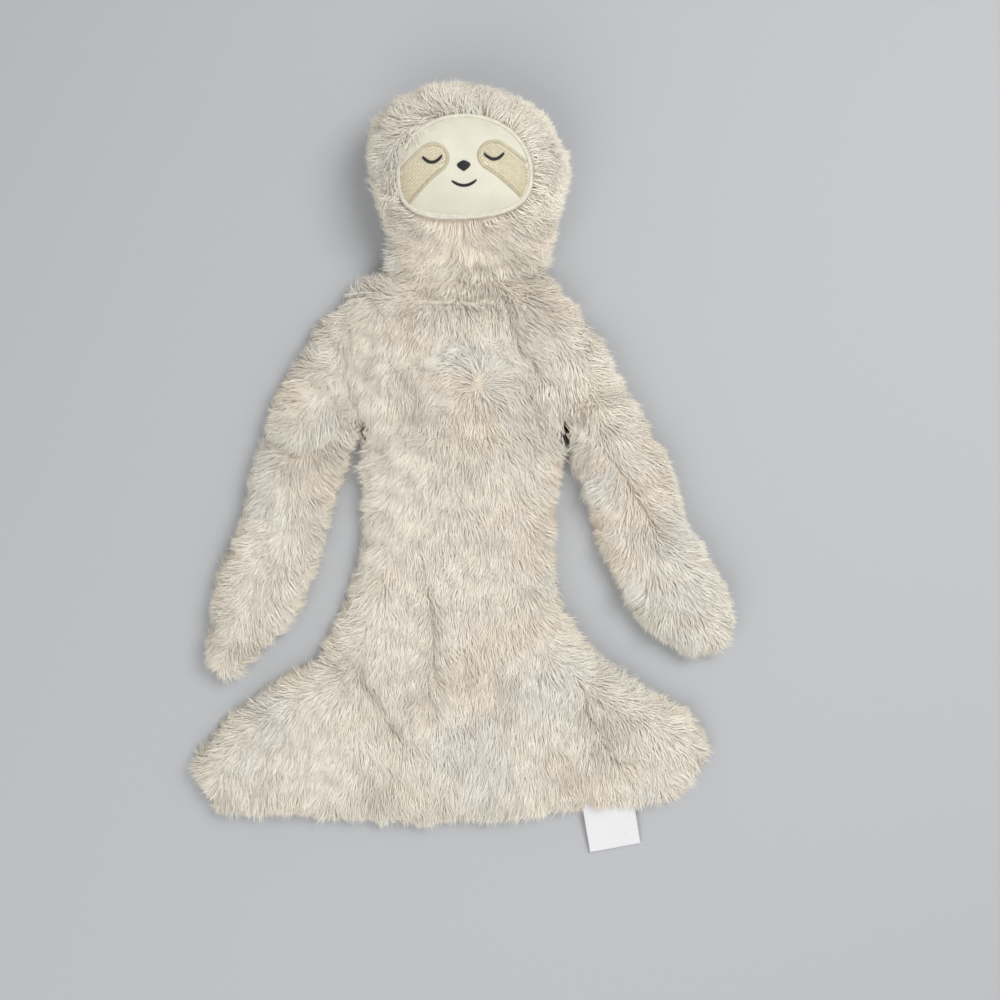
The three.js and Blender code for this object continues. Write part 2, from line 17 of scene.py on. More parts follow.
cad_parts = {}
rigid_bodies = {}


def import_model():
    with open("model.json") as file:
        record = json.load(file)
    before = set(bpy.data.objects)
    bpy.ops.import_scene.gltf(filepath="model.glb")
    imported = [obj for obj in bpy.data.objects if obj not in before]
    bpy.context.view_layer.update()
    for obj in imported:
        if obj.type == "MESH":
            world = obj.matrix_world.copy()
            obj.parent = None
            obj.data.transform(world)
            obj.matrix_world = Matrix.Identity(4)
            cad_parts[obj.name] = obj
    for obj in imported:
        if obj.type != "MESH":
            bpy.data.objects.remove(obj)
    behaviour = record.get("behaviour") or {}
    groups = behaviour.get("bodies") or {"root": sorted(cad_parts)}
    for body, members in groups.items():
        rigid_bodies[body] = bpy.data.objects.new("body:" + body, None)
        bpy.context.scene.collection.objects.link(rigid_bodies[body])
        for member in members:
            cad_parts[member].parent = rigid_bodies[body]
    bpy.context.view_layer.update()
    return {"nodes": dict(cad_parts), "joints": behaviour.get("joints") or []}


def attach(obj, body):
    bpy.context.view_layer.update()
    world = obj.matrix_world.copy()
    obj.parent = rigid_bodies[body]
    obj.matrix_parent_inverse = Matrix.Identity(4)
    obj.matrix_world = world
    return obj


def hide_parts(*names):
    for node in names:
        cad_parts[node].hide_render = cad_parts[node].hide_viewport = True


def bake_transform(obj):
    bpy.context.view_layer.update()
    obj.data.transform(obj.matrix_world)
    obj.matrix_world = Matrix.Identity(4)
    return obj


bl_info = {
    "name": "Sloth comfort blanket",
    "version": (1, 0, 0),
    "blender": (4, 5, 0),
    "location": "3D View > Sidebar > Plush",
    "description": "Dresses the solids of a soft toy in pile fabric, wadding, stitching and a label",
    "category": "Object",
}

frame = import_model()

MM = 0.001
UP = np.array((0.0, 0.0, 1.0))
SEED = 21

# The solids of each body that its fabric stands for, and the solid of its stuffing
COVERS = {
    "chest": ("chest_front_cover", "chest_back_cover"),
    "head": ("head_front_cover", "head_back_cover"),
    "left_arm": ("left_arm_front_panel", "left_arm_back_panel"),
    "right_arm": ("right_arm_front_panel", "right_arm_back_panel"),
    "blanket": ("blanket_front_panel", "blanket_back_panel"),
}
FILLINGS = {
    "chest": "chest_stuffing",
    "head": "head_stuffing",
    "left_arm": "left_arm_padding",
    "right_arm": "right_arm_padding",
    "blanket": "blanket_batting",
}

# The point that each body's pile leans away from, in plan
COMBED_FROM = {
    "chest": (0.002, 0.150),
    "head": (0.003, 0.158),
    "left_arm": (0.032, 0.120),
    "right_arm": (-0.040, 0.120),
    "blanket": (0.002, 0.100),
}

# The line in plan where the gap between the toy's right arm and its body starts
RIGHT_ARMPIT = ((-0.0605, 0.030), (-0.0607, 0.024), (-0.0630, 0.014))

# Lines in plan where the pile parts: depth of the dip, how far the pile leans aside and along, and the line.
# The dip also darkens the pile with painted shade.
PARTINGS = (
    (1.0, 1.0, 0.4, ((-0.019, -0.066), (-0.016, -0.098), (-0.020, -0.130))),
    (1.3, 0.9, 0.6, (
        (-0.065, -0.104), (-0.060, -0.113), (-0.048, -0.132), (-0.040, -0.146), (-0.034, -0.152),
    )),
    (0.0, 1.0, 2.2, (
        (-0.066, -0.098), (-0.083, -0.114), (-0.106, -0.132), (-0.121, -0.142), (-0.136, -0.165),
    )),
    (0.0, 0.9, 2.0, ((0.058, -0.089), (0.065, -0.104), (0.076, -0.115), (0.092, -0.123))),
    (1.3, 1.3, 0.6, ((0.069, -0.124), (0.073, -0.137), (0.085, -0.158), (0.090, -0.163))),
    (0.7, 0.4, 0.6, ((-0.111, -0.158), (-0.117, -0.172), (-0.121, -0.184))),
    (1.1, 0.9, 0.5, ((0.025, 0.103), (0.030, 0.086), (0.031, 0.073), (0.038, 0.069), (0.044, 0.058))),
    (0.6, 0.4, 0.0, ((-0.023, 0.104), (0.015, 0.103), (0.035, 0.110))),
    (1.3, 0.0, 0.0, ((-0.046, 0.115), (0.000, 0.112), (0.050, 0.113))),
    (0.45, 0.0, 0.0, (
        (-0.058, 0.0240), (-0.030, 0.0250), (0.005, 0.0225), (0.030, 0.0240), (0.060, 0.0245),
    )),
    (0.6, 0.4, 0.3, ((-0.071, 0.067), (-0.062, 0.046), (-0.061, 0.034))),
    (1.3, 0.9, 0.0, (
        (-0.111, 0.020), (-0.104, 0.017), (-0.096, 0.012), (-0.088, 0.013), (-0.077, 0.018),
    )),
    (1.4, 1.5, 0.3, RIGHT_ARMPIT),
    (1.4, 1.5, 0.3, ((0.0600, 0.030), (0.0604, 0.024), (0.0612, 0.014))),
    (1.0, 0.6, 0.0, ((0.065, 0.044), (0.080, 0.046), (0.096, 0.047))),
    (1.1, 1.0, 0.5, ((0.077, 0.024), (0.095, -0.002), (0.111, -0.033))),
)

# Lines in plan that the pile is tousled along, and darkened with painted shade
TOUSLED_AND_SHADED = (
    ((-0.030, 0.116), (0.035, 0.113)),
    ((-0.088, 0.070), (-0.070, 0.050), (-0.066, 0.040)),
    ((-0.033, 0.070), (-0.026, 0.050), (-0.024, 0.036)),
    ((0.036, 0.054), (0.047, 0.036)),
)
# Places where the fabric reaches a little past its solids: where in plan, how wide, and by how much
REACHES = (
    ((-0.140, -0.180), 0.028, (-0.002, -0.008)),
    ((0.118, -0.176), 0.030, (0.002, -0.004)),
    ((-0.054, 0.110), 0.015, (-0.004, 0.003)),
    ((0.054, 0.108), 0.014, (0.002, 0.002)),
    ((-0.137, -0.110), 0.018, (-0.001, -0.004)),
    ((0.061, 0.176), 0.009, (0.003, 0.000)),
    ((0.047, 0.204), 0.008, (0.002, 0.001)),
    ((0.061, 0.160), 0.006, (-0.002, 0.000)),
)
# The whorl on the chest that the pile radiates from, and the size of a tuft
WHORL = (0.010, 0.050)
TUFT = 9 * MM
# Above this height there is only the head
ONLY_HEAD = 35 * MM
# How square the face's outline is above and below its widest line, from 2 for an ellipse
SQUARE_ABOVE, SQUARE_BELOW = 2.0, 2.7
# How far the face panel, and the middle of a lid on it, stand above the head's fabric
PANEL_TOP = 2.05 * MM
LID_TOP = PANEL_TOP + 1.07 * MM
PANEL_DOME = 0.7 * MM


class PlushCover(bpy.types.PropertyGroup):
    """Sizes of the fabric's backing and of the stuffing under it."""

    weave: bpy.props.FloatProperty(
        name="Mesh size",
        description="Width of the squares that the backing is made of, one lock of pile on each",
        default=3 * MM,
        min=2 * MM,
        unit="LENGTH",
    )
    sink: bpy.props.FloatProperty(
        name="Backing depth",
        description="How far the backing lies inside the solids, which reach into the pile",
        default=2 * MM,
        unit="LENGTH",
    )
    bed: bpy.props.FloatProperty(
        name="Bed",
        description="Height of the backing above the surface that the toy lies on",
        default=2.2 * MM,
        unit="LENGTH",
    )
    lumps: bpy.props.FloatProperty(
        name="Lumps",
        description="How much the stuffing lifts or lets down the fabric",
        default=2.0 * MM,
        unit="LENGTH",
    )
    parting_depth: bpy.props.FloatProperty(
        name="Parting depth",
        description="Depth of the valley under a parting",
        default=3.6 * MM,
        unit="LENGTH",
    )
    parting_width: bpy.props.FloatProperty(
        name="Parting width",
        description="Distance over which such a valley and the lean away from it fade",
        default=5.5 * MM,
        unit="LENGTH",
    )
    seam_lap: bpy.props.FloatProperty(
        name="Bend before a seam",
        description="Width of the chest's fabric that bends with the part sewn to it",
        default=11 * MM,
        unit="LENGTH",
    )
    seam_bend: bpy.props.FloatProperty(
        name="Bend after a seam",
        description="Width of the sewn part's fabric over which its bend ends",
        default=26 * MM,
        unit="LENGTH",
    )


class PlushPile(bpy.types.PropertyGroup):
    """Sizes and colours of the long pile."""

    length: bpy.props.FloatProperty(
        name="Length", description="Length of the pile", default=10 * MM, unit="LENGTH"
    )
    bundle: bpy.props.FloatProperty(
        name="Bundle", description="Thickness of a bundle at its foot", default=0.60 * MM, precision=5
    )
    fibre: bpy.props.FloatProperty(
        name="Fibre", description="Thickness of a fibre at its foot", default=0.40 * MM, precision=5
    )
    front_bundles: bpy.props.FloatProperty(
        name="Front bundles", description="Bundles on a square millimetre of the front", default=0.85
    )
    front_fibres: bpy.props.FloatProperty(
        name="Front fibres", description="Loose fibres on a square millimetre of the front", default=2.8
    )
    back_bundles: bpy.props.FloatProperty(
        name="Back bundles", description="Bundles on a square millimetre of the back", default=0.32
    )
    back_fibres: bpy.props.FloatProperty(
        name="Back fibres", description="Loose fibres on a square millimetre of the back", default=0.5
    )
    lift_at_foot: bpy.props.FloatProperty(
        name="Lift at the foot",
        description="Angle between the lower half of the pile and the backing",
        default=math.radians(28),
        subtype="ANGLE",
    )
    lift_at_tip: bpy.props.FloatProperty(
        name="Lift at the tip",
        description="Angle between the upper half of the pile and the backing",
        default=math.radians(4),
        subtype="ANGLE",
    )
    gather: bpy.props.FloatProperty(
        name="Gather",
        description="Share by which the tips of a lock draw together",
        default=0.5,
        min=0,
        max=1,
        subtype="FACTOR",
    )
    softness: bpy.props.FloatProperty(
        name="Softness",
        description="Share of the fabric's own direction in the shading of each bundle",
        default=0.85,
        min=0,
        max=1,
        subtype="FACTOR",
    )
    tip_colour: bpy.props.FloatVectorProperty(
        name="Tips", description="Colour of the tips", default=(0.98, 0.915, 0.785), subtype="COLOR"
    )
    # The foot colour is the pile's own darker foot with painted shade deep in the pile added
    foot_and_shade_colour: bpy.props.FloatVectorProperty(
        name="Foot", description="Colour deep in the pile", default=(0.85, 0.75, 0.62), subtype="COLOR"
    )
    cool_colour: bpy.props.FloatVectorProperty(
        name="Cool patches",
        description="Colour of the patches that look cooler",
        default=(0.895, 0.87, 0.79),
        subtype="COLOR",
    )
    warm_colour: bpy.props.FloatVectorProperty(
        name="Warm patches",
        description="Colour of the patches that look warmer",
        default=(0.96, 0.85, 0.705),
        subtype="COLOR",
    )
    wadding_colour: bpy.props.FloatVectorProperty(
        name="Wadding", description="Colour of the stuffing", default=(0.86, 0.86, 0.84), subtype="COLOR"
    )


class PlushFace(bpy.types.PropertyGroup):
    """Sizes and colours of the stitched face. Its frame is level and centred where the panel is widest."""

    centre: bpy.props.FloatVectorProperty(
        name="Centre", description="Centre of the face in plan", size=2, default=(2.7 * MM, 161 * MM)
    )
    tilt: bpy.props.FloatProperty(
        name="Tilt", description="Turn of the face", default=math.radians(2.5), subtype="ANGLE"
    )
    half_width: bpy.props.FloatProperty(
        name="Half width", description="Half of the panel's width", default=36 * MM, unit="LENGTH"
    )
    above: bpy.props.FloatProperty(
        name="Above", description="Height of the panel above its widest line", default=31 * MM, unit="LENGTH"
    )
    below: bpy.props.FloatProperty(
        name="Below", description="Height of the panel below that line", default=21.5 * MM, unit="LENGTH"
    )
    border_width: bpy.props.FloatProperty(
        name="Edge width", description="Width of the stitched edge", default=2.6 * MM, unit="LENGTH"
    )
    thread: bpy.props.FloatProperty(
        name="Thread", description="Radius of a thread", default=0.24 * MM, precision=5, unit="LENGTH"
    )
    patch_width: bpy.props.FloatProperty(
        name="Patch width", description="Width of an eye patch", default=17 * MM, unit="LENGTH"
    )
    patch_slant: bpy.props.FloatProperty(
        name="Patch slant", description="Slope of the patches", default=math.radians(36), subtype="ANGLE"
    )
    panel_colour: bpy.props.FloatVectorProperty(
        name="Panel", description="Colour of the face panel", default=(0.80, 0.775, 0.65), subtype="COLOR"
    )
    border_colour: bpy.props.FloatVectorProperty(
        name="Edge", description="Colour of the edge's thread", default=(0.86, 0.82, 0.70), subtype="COLOR"
    )
    patch_colour: bpy.props.FloatVectorProperty(
        name="Patches",
        description="Colour of the patches' thread",
        default=(0.70, 0.625, 0.44),
        subtype="COLOR",
    )
    dark_colour: bpy.props.FloatVectorProperty(
        name="Dark thread",
        description="Colour of the lids, nose and mouth",
        default=(0.018, 0.016, 0.02),
        subtype="COLOR",
    )


class PlushLabel(bpy.types.PropertyGroup):
    """Sizes and colour of the label tab."""

    width: bpy.props.FloatProperty(
        name="Width", description="Width of the satin tape", default=30 * MM, unit="LENGTH"
    )
    length: bpy.props.FloatProperty(
        name="Length", description="Length of the folded tab outside the hem", default=28 * MM, unit="LENGTH"
    )
    tape: bpy.props.FloatProperty(
        name="Tape", description="Thickness of the tape", default=0.36 * MM, precision=5, unit="LENGTH"
    )
    gap: bpy.props.FloatProperty(
        name="Gap", description="Between the two leaves", default=0.62 * MM, precision=5, unit="LENGTH"
    )
    colour: bpy.props.FloatVectorProperty(
        name="Satin", description="Colour of the satin", default=(0.84, 0.84, 0.85), subtype="COLOR"
    )


class PlushStage(bpy.types.PropertyGroup):
    """The floor, the lamps and the camera."""

    floor_colour: bpy.props.FloatVectorProperty(
        name="Floor", description="Colour of the floor", default=(0.50, 0.51, 0.525), subtype="COLOR"
    )
    camera_place: bpy.props.FloatVectorProperty(
        name="Camera",
        description="Place of the camera, which looks straight down",
        default=(0.0219, -0.0141, 0.750),
        subtype="TRANSLATION",
    )
    lens: bpy.props.FloatProperty(
        name="Lens", description="Focal length on a 36 mm sensor", default=46.1, unit="CAMERA"
    )
    key_power: bpy.props.FloatProperty(
        name="Key", description="Power of the main lamp", default=7.9, unit="POWER"
    )
    fill_power: bpy.props.FloatProperty(
        name="Fill", description="Power of the fill lamp", default=5.5, unit="POWER"
    )
    sky: bpy.props.FloatProperty(
        name="Sky", description="Strength of the light from all round", default=0.43
    )


# Meshes


def unit(vectors):
    """The vectors at length 1."""
    return vectors / np.maximum(np.linalg.norm(vectors, axis=-1, keepdims=True), 1e-12)


def new_mesh(name, points, faces):
    """A mesh of faces that all have as many corners."""
    mesh = bpy.data.meshes.new(name)
    points = np.asarray(points, np.float32)
    faces = np.asarray(faces, np.int32)
    mesh.vertices.add(len(points))
    mesh.vertices.foreach_set("co", points.ravel())
    mesh.loops.add(faces.size)
    mesh.loops.foreach_set("vertex_index", faces.ravel())
    mesh.polygons.add(len(faces))
    mesh.polygons.foreach_set("loop_start", np.arange(0, faces.size, faces.shape[1], dtype=np.int32))
    mesh.update(calc_edges=True)
    return mesh


def placed(name, mesh, material=None, smooth=True):
    """A new object in the scene with that mesh and finish."""
    if smooth:
        mesh.shade_smooth()
    piece = bpy.data.objects.new(name, mesh)
    bpy.context.scene.collection.objects.link(piece)
    if material:
        mesh.materials.append(material)
    return piece


def read(collection, name, width, kind=np.float64):
    """A property of all of a mesh's vertices, loops or polygons as an array."""
    values = np.empty(len(collection) * width, kind)
    collection.foreach_get(name, values)
    return values.reshape(-1, width) if width > 1 else values


def surface(names):
    """Corners and triangles of those solids together."""
    points, faces, start = [], [], 0
    for name in names:
        mesh = frame["nodes"][name].data
        mesh.calc_loop_triangles()
        points.append(read(mesh.vertices, "co", 3))
        faces.append(read(mesh.loop_triangles, "vertices", 3, np.int32) + start)
        start += len(mesh.vertices)
    return np.concatenate(points), np.concatenate(faces)


def tree_of(names):
    """The solids' surface, for finding places on it."""
    points, faces = surface(names)
    return BVHTree.FromPolygons(points.tolist(), faces.tolist())


def remeshed(parts, voxel):
    """The outside of those parts as one closed mesh of even squares: corners and squares."""
    points = np.concatenate([p for p, _ in parts])
    starts = np.cumsum([0] + [len(p) for p, _ in parts[:-1]])
    faces = np.concatenate([f + s for (_, f), s in zip(parts, starts)])
    rough = placed("rough", new_mesh("rough", points, faces))
    fuse = rough.modifiers.new("Fuse", "REMESH")
    fuse.mode = "VOXEL"
    fuse.voxel_size = voxel
    evaluated = rough.evaluated_get(bpy.context.evaluated_depsgraph_get())
    work = bmesh.new()
    work.from_mesh(evaluated.data)
    bpy.data.meshes.remove(rough.data)
    keep_largest(work)
    work.verts.index_update()
    points = np.array([v.co for v in work.verts])
    squares = np.array([[v.index for v in f.verts] for f in work.faces if len(f.verts) == 4])
    work.free()
    return points, squares


def keep_largest(work):
    """Leaves only the largest connected part of a bmesh."""
    unseen, parts = set(work.verts), []
    while unseen:
        waiting = [unseen.pop()]
        part = set(waiting)
        while waiting:
            for edge in waiting.pop().link_edges:
                for v in edge.verts:
                    if v in unseen:
                        unseen.discard(v)
                        part.add(v)
                        waiting.append(v)
        parts.append(part)
    largest = max(parts, key=len)
    spare = [v for part in parts if part is not largest for v in part]
    bmesh.ops.delete(work, geom=spare, context="VERTS")


def relaxed(points, faces, rounds, share=0.5):
    """The points drawn towards their neighbours."""
    pairs = np.concatenate([faces[:, [k, (k + 1) % faces.shape[1]]] for k in range(faces.shape[1])])
    count = np.bincount(pairs[:, 0], minlength=len(points))[:, None]
    count = count + np.bincount(pairs[:, 1], minlength=len(points))[:, None]
    for _ in range(rounds):
        total = np.zeros_like(points)
        np.add.at(total, pairs[:, 0], points[pairs[:, 1]])
        np.add.at(total, pairs[:, 1], points[pairs[:, 0]])
        points = points + share * (total / np.maximum(count, 1) - points)
    return points


def normals_of(points, faces):
    """The outward direction at each corner."""
    a, b, c = points[faces[:, 0]], points[faces[:, 1]], points[faces[:, 2]]
    flat = np.cross(b - a, c - a)
    total = np.zeros_like(points)
    for k in range(faces.shape[1]):
        np.add.at(total, faces[:, k], flat)
    return unit(total)


def wander(points, size, offset=0.0):
    """Smooth noise from -1 to 1 with features of that size."""
    shift = Vector((offset, 1.7 * offset, 2.3 * offset))
    return np.array([noise.noise(Vector(p) / size + shift) for p in points.tolist()])


# Seams and partings


class Seam:
    """The line that a part sewn to the chest bends on, with its ends and the direction out to that part."""

    def __init__(self, child):
        joint = next(j for j in frame["joints"] if j["child"] == child)
        self.parent = joint["parent"]
        self.middle = np.array(joint["pos_m"])
        self.along = unit(np.array(joint["axis"], float))
        self.out = np.cross(self.along, UP)
        places, _ = surface(COVERS[child])
        if (places.mean(0) - self.middle) @ self.out < 0:
            self.out = -self.out
        parent, _ = surface(COVERS[self.parent])
        offset = parent - self.middle
        near = np.abs(offset @ self.out) < 2 * MM
        reach = offset[near] @ self.along
        self.low, self.high = reach.min(), reach.max()

    def place(self, beyond=0.0, share=0.5):
        """The point that far beyond the seam, at that share of its length."""
        return self.middle + self.along * (self.low + share * (self.high - self.low)) + self.out * beyond

    def distance(self, points):
        """How far each point is from the seam, in plan."""
        offset = points - self.middle
        reach = np.clip(offset @ self.along, self.low, self.high)
        gap = offset - reach[:, None] * self.along
        return np.linalg.norm(gap[:, :2], axis=1)

    def thinned(self, points):
        """Stuffing with less of it near the seam, so that the fabric can fold there."""
        near = np.exp(-((self.distance(points) / (15 * MM)) ** 2))[:, None]
        side = np.sign((points - self.middle) @ self.out)[:, None]
        height = self.middle[2]
        points = points + near * side * 5 * MM * self.out
        points[:, 2] = height + (points[:, 2] - height) * (1 - 0.6 * near[:, 0])
        return points

    def bridge(self, half_width, half_height):
        """A long lens over the seam, which partly fills the valley between the two covers."""
        around, rows = 12, 18
        turns = 2 * np.pi * np.arange(around) / around
        points, faces = [self.place(share=0.02)], []
        for i in range(rows):
            s = (i + 1) / (rows + 1)
            swell = min(1.0, 2.2 * math.sqrt(s * (1 - s)))
            centre = self.place(share=s)
            for turn in turns:
                side = self.out * half_width * math.cos(turn) + UP * half_height * math.sin(turn)
                points.append(centre + side * swell)
        points.append(self.place(share=0.98))
        for i in range(rows - 1):
            for k in range(around):
                a, b = 1 + i * around + k, 1 + i * around + (k + 1) % around
                faces += [(a, b, b + around), (a, b + around, a + around)]
        for k in range(around):
            a, b = 1 + k, 1 + (k + 1) % around
            faces += [(0, b, a), (len(points) - 1, a + (rows - 1) * around, b + (rows - 1) * around)]
        return np.array(points), np.array(faces)


SEAMS = {child: Seam(child) for child in COVERS if child != "chest"}
BRIDGES = {  # half width and half height of each seam's filling
    "head": (9 * MM, 9 * MM),
    "left_arm": (9 * MM, 7.5 * MM),
    "right_arm": (9 * MM, 7.5 * MM),
    "blanket": (9 * MM, 6.2 * MM),
}


def from_line(points, line):
    """Distance of each point from a line in plan, the direction away from it and the direction along it."""
    best = np.full(len(points), 1.0)
    away = np.zeros((len(points), 2))
    ahead = np.zeros((len(points), 2))
    for a, b in zip(line, line[1:]):
        a, b = np.array(a), np.array(b)
        share = np.clip((points[:, :2] - a) @ (b - a) / ((b - a) @ (b - a)), 0, 1)
        gap = points[:, :2] - a - share[:, None] * (b - a)
        far = np.linalg.norm(gap, axis=1)
        nearer = far < best
        best[nearer] = far[nearer]
        away[nearer] = gap[nearer]
        ahead[nearer] = unit(b - a)
    return best, unit(away), ahead


def along_lines(points, lines, width):
    """1 on those lines in plan, falling to 0 beside them."""
    far = np.min([from_line(points, line)[0] for line in lines], axis=0)
    return np.exp(-((far / width) ** 2))


def partings_at(points, out):
    """How far the fabric dips at each point, as a share, and the way in plan that its pile leans aside."""
    width = bpy.context.scene.plush_cover.parting_width
    front = out[:, 2] > 0.3
    dip = np.zeros(len(points))
    aside = np.zeros((len(points), 2))
    for depth, lean, follow, line in PARTINGS:
        far, away, ahead = from_line(points, line)
        dip = np.maximum(dip, depth * np.exp(-((far / (0.6 * width)) ** 2)) * front)
        near = (np.exp(-((far / (1.4 * width)) ** 2)) * front)[:, None]
        aside += near * (lean * away + follow * ahead)
    return dip, aside


# The face's frame


def on_face(x, y):
    """The place in plan of a point in the face's frame."""
    face = bpy.context.scene.plush_face
    c, s = math.cos(face.tilt), math.sin(face.tilt)
    return face.centre[0] + c * x - s * y, face.centre[1] + s * x + c * y


def in_face(points):
    """Points in the face's frame, from places in plan."""
    face = bpy.context.scene.plush_face
    c, s = math.cos(face.tilt), math.sin(face.tilt)
    d = points[:, :2] - np.array(face.centre)
    return np.stack((c * d[:, 0] + s * d[:, 1], -s * d[:, 0] + c * d[:, 1]), axis=1)


def face_share(points):
    """0 at the middle of the face and 1 on its rim, for places in plan."""
    face = bpy.context.scene.plush_face
    p = in_face(points)
    upper = p[:, 1] > 0
    reach = np.where(upper, face.above, face.below)
    power = np.where(upper, SQUARE_ABOVE, SQUARE_BELOW)
    x, y = np.abs(p[:, 0]) / face.half_width, np.abs(p[:, 1]) / reach
    return (x**power + y**power) ** (1 / power)


def rim(turn):
    """A point on the face's outline at a turn from its right end."""
    face = bpy.context.scene.plush_face
    upper = math.sin(turn) > 0
    reach, power = (face.above, SQUARE_ABOVE) if upper else (face.below, SQUARE_BELOW)

    def squared(v):
        return math.copysign(abs(v) ** (2 / power), v)

    return face.half_width * squared(math.cos(turn)), reach * squared(math.sin(turn))


class Dome:
    """The smooth front of the head under the face."""

    step = 2 * MM

    def __init__(self):
        head = tree_of(["head_front_cover"])
        face = bpy.context.scene.plush_face
        count = 56
        self.low = np.array(face.centre) - self.step * count / 2
        self.heights = np.zeros((count + 1, count + 1))
        for i in range(count + 1):
            for j in range(count + 1):
                x, y = self.low + self.step * np.array((i, j))
                hit = head.ray_cast(Vector((x, y, 1)), Vector((0, 0, -1)))[0]
                self.heights[i, j] = hit.z if hit else 30 * MM
        for _ in range(5):
            h = self.heights
            inner = (h[:-2, 1:-1] + h[2:, 1:-1] + h[1:-1, :-2] + h[1:-1, 2:]) / 4
            h[1:-1, 1:-1] = 0.5 * h[1:-1, 1:-1] + 0.5 * inner

    def __call__(self, x, y):
        """Height at a place in plan."""
        u, v = (np.array((x, y)) - self.low) / self.step
        i, j = int(min(max(u, 0), len(self.heights) - 2)), int(min(max(v, 0), len(self.heights) - 2))
        s, t = u - i, v - j
        h = self.heights
        low = (1 - s) * h[i, j] + s * h[i + 1, j]
        high = (1 - s) * h[i, j + 1] + s * h[i + 1, j + 1]
        return (1 - t) * low + t * high


# Materials


def new_material(name, roughness, sheen=0.0, sheen_roughness=0.4):
    """A material, its node tree and its shader, with what is the same all over set on its sockets."""
    material = bpy.data.materials.new(name)
    material.use_nodes = True
    tree = material.node_tree
    shader = tree.nodes["Principled BSDF"]
    shader.inputs["Roughness"].default_value = roughness
    shader.inputs["Sheen Weight"].default_value = sheen
    shader.inputs["Sheen Roughness"].default_value = sheen_roughness
    return material, tree, shader


def noise_node(tree, vector, scale, detail=3.0):
    """Noise read at that vector."""
    node = tree.nodes.new("ShaderNodeTexNoise")
    node.inputs["Scale"].default_value = scale
    node.inputs["Detail"].default_value = detail
    tree.links.new(vector, node.inputs["Vector"])
    return node.outputs["Fac"]


def stretched(tree, value, low, high):
    """The value with low at 0 and high at 1, cut off outside."""
    node = tree.nodes.new("ShaderNodeMapRange")
    node.inputs["From Min"].default_value = low
    node.inputs["From Max"].default_value = high
    tree.links.new(value, node.inputs["Value"])
    return node.outputs["Result"]


def mixed(tree, share, first, second):
    """A colour between two, each a colour or a socket."""
    node = tree.nodes.new("ShaderNodeMix")
    node.data_type = "RGBA"
    tree.links.new(share, node.inputs["Factor"])
    for name, colour in (("A", first), ("B", second)):
        socket = next(s for s in node.inputs if s.name == name and s.type == "RGBA")
        if isinstance(colour, bpy.types.NodeSocket):
            tree.links.new(colour, socket)
        else:
            socket.default_value = (*colour, 1.0)
    return next(s for s in node.outputs if s.type == "RGBA")


def attribute(tree, name):
    """Outputs of a node that reads that attribute."""
    node = tree.nodes.new("ShaderNodeAttribute")
    node.attribute_name = name
    return node.outputs


def bumped(tree, shader, height, distance, strength=1.0):
    """Gives the shader a relief of that height."""
    node = tree.nodes.new("ShaderNodeBump")
    node.inputs["Distance"].default_value = distance
    node.inputs["Strength"].default_value = strength
    tree.links.new(height, node.inputs["Height"])
    tree.links.new(node.outputs["Normal"], shader.inputs["Normal"])


def pile_finish():
    """Long pile: darker at its foot, its own two-tone with painted shade deep in the pile; darker between
    tufts, in partings and along tousled lines as painted shade; with cooler and warmer patches. Reads where
    each bundle is rooted.
    """
    pile = bpy.context.scene.plush_pile
    material, tree, shader = new_material("long_pile", 0.85, sheen=0.25, sheen_roughness=0.5)
    root = attribute(tree, "root")["Vector"]
    cool = stretched(tree, noise_node(tree, root, 22.0, 1.0), 0.52, 0.74)
    warm = stretched(tree, noise_node(tree, root, 31.0, 1.0), 0.52, 0.74)
    colour = mixed(tree, cool, tuple(pile.tip_colour), tuple(pile.cool_colour))
    colour = mixed(tree, warm, colour, tuple(pile.warm_colour))
    # Painted shade: darker strands go towards this colour between tufts, in partings and along tousled lines;
    # the random part of the tone also goes towards it
    shade = tuple(0.72 * c for c in pile.tip_colour)
    colour = mixed(tree, stretched(tree, attribute(tree, "tint_and_shade")["Fac"], -0.45, 0.48), shade, colour)
    # The lower part of each strand takes the foot colour: its own darker foot and painted shade deep in the
    # pile
    along = stretched(tree, attribute(tree, "along")["Fac"], 0.0, 0.45)
    colour = mixed(tree, along, tuple(pile.foot_and_shade_colour), colour)
    tree.links.new(colour, shader.inputs["Base Color"])
    return material


def backing_finish():
    """The knitted backing with the dense foot of the pile on it, in the foot colour: its own darker foot with
    painted shade deep in the pile.
    """
    pile = bpy.context.scene.plush_pile
    material, tree, shader = new_material("pile_backing", 0.95, sheen=0.2)
    root = attribute(tree, "root")["Vector"]
    grain = stretched(tree, noise_node(tree, root, 900.0, 2.0), 0.35, 0.65)
    colour = mixed(tree, grain, tuple(0.88 * c for c in pile.foot_and_shade_colour), tuple(pile.foot_and_shade_colour))
    tree.links.new(colour, shader.inputs["Base Color"])
    bumped(tree, shader, grain, 0.4 * MM)
    return material


def wadding_finish():
    """Loose white fibre."""
    pile = bpy.context.scene.plush_pile
    material, tree, shader = new_material("wadding_fibre", 1.0, sheen=0.3)
    place = tree.nodes.new("ShaderNodeTexCoord").outputs["Object"]
    fibre = stretched(tree, noise_node(tree, place, 260.0, 8.0), 0.3, 0.7)
    shade = tuple(0.9 * c for c in pile.wadding_colour)
    colour = mixed(tree, fibre, shade, tuple(pile.wadding_colour))
    tree.links.new(colour, shader.inputs["Base Color"])
    bumped(tree, shader, fibre, 1.0 * MM)
    return material


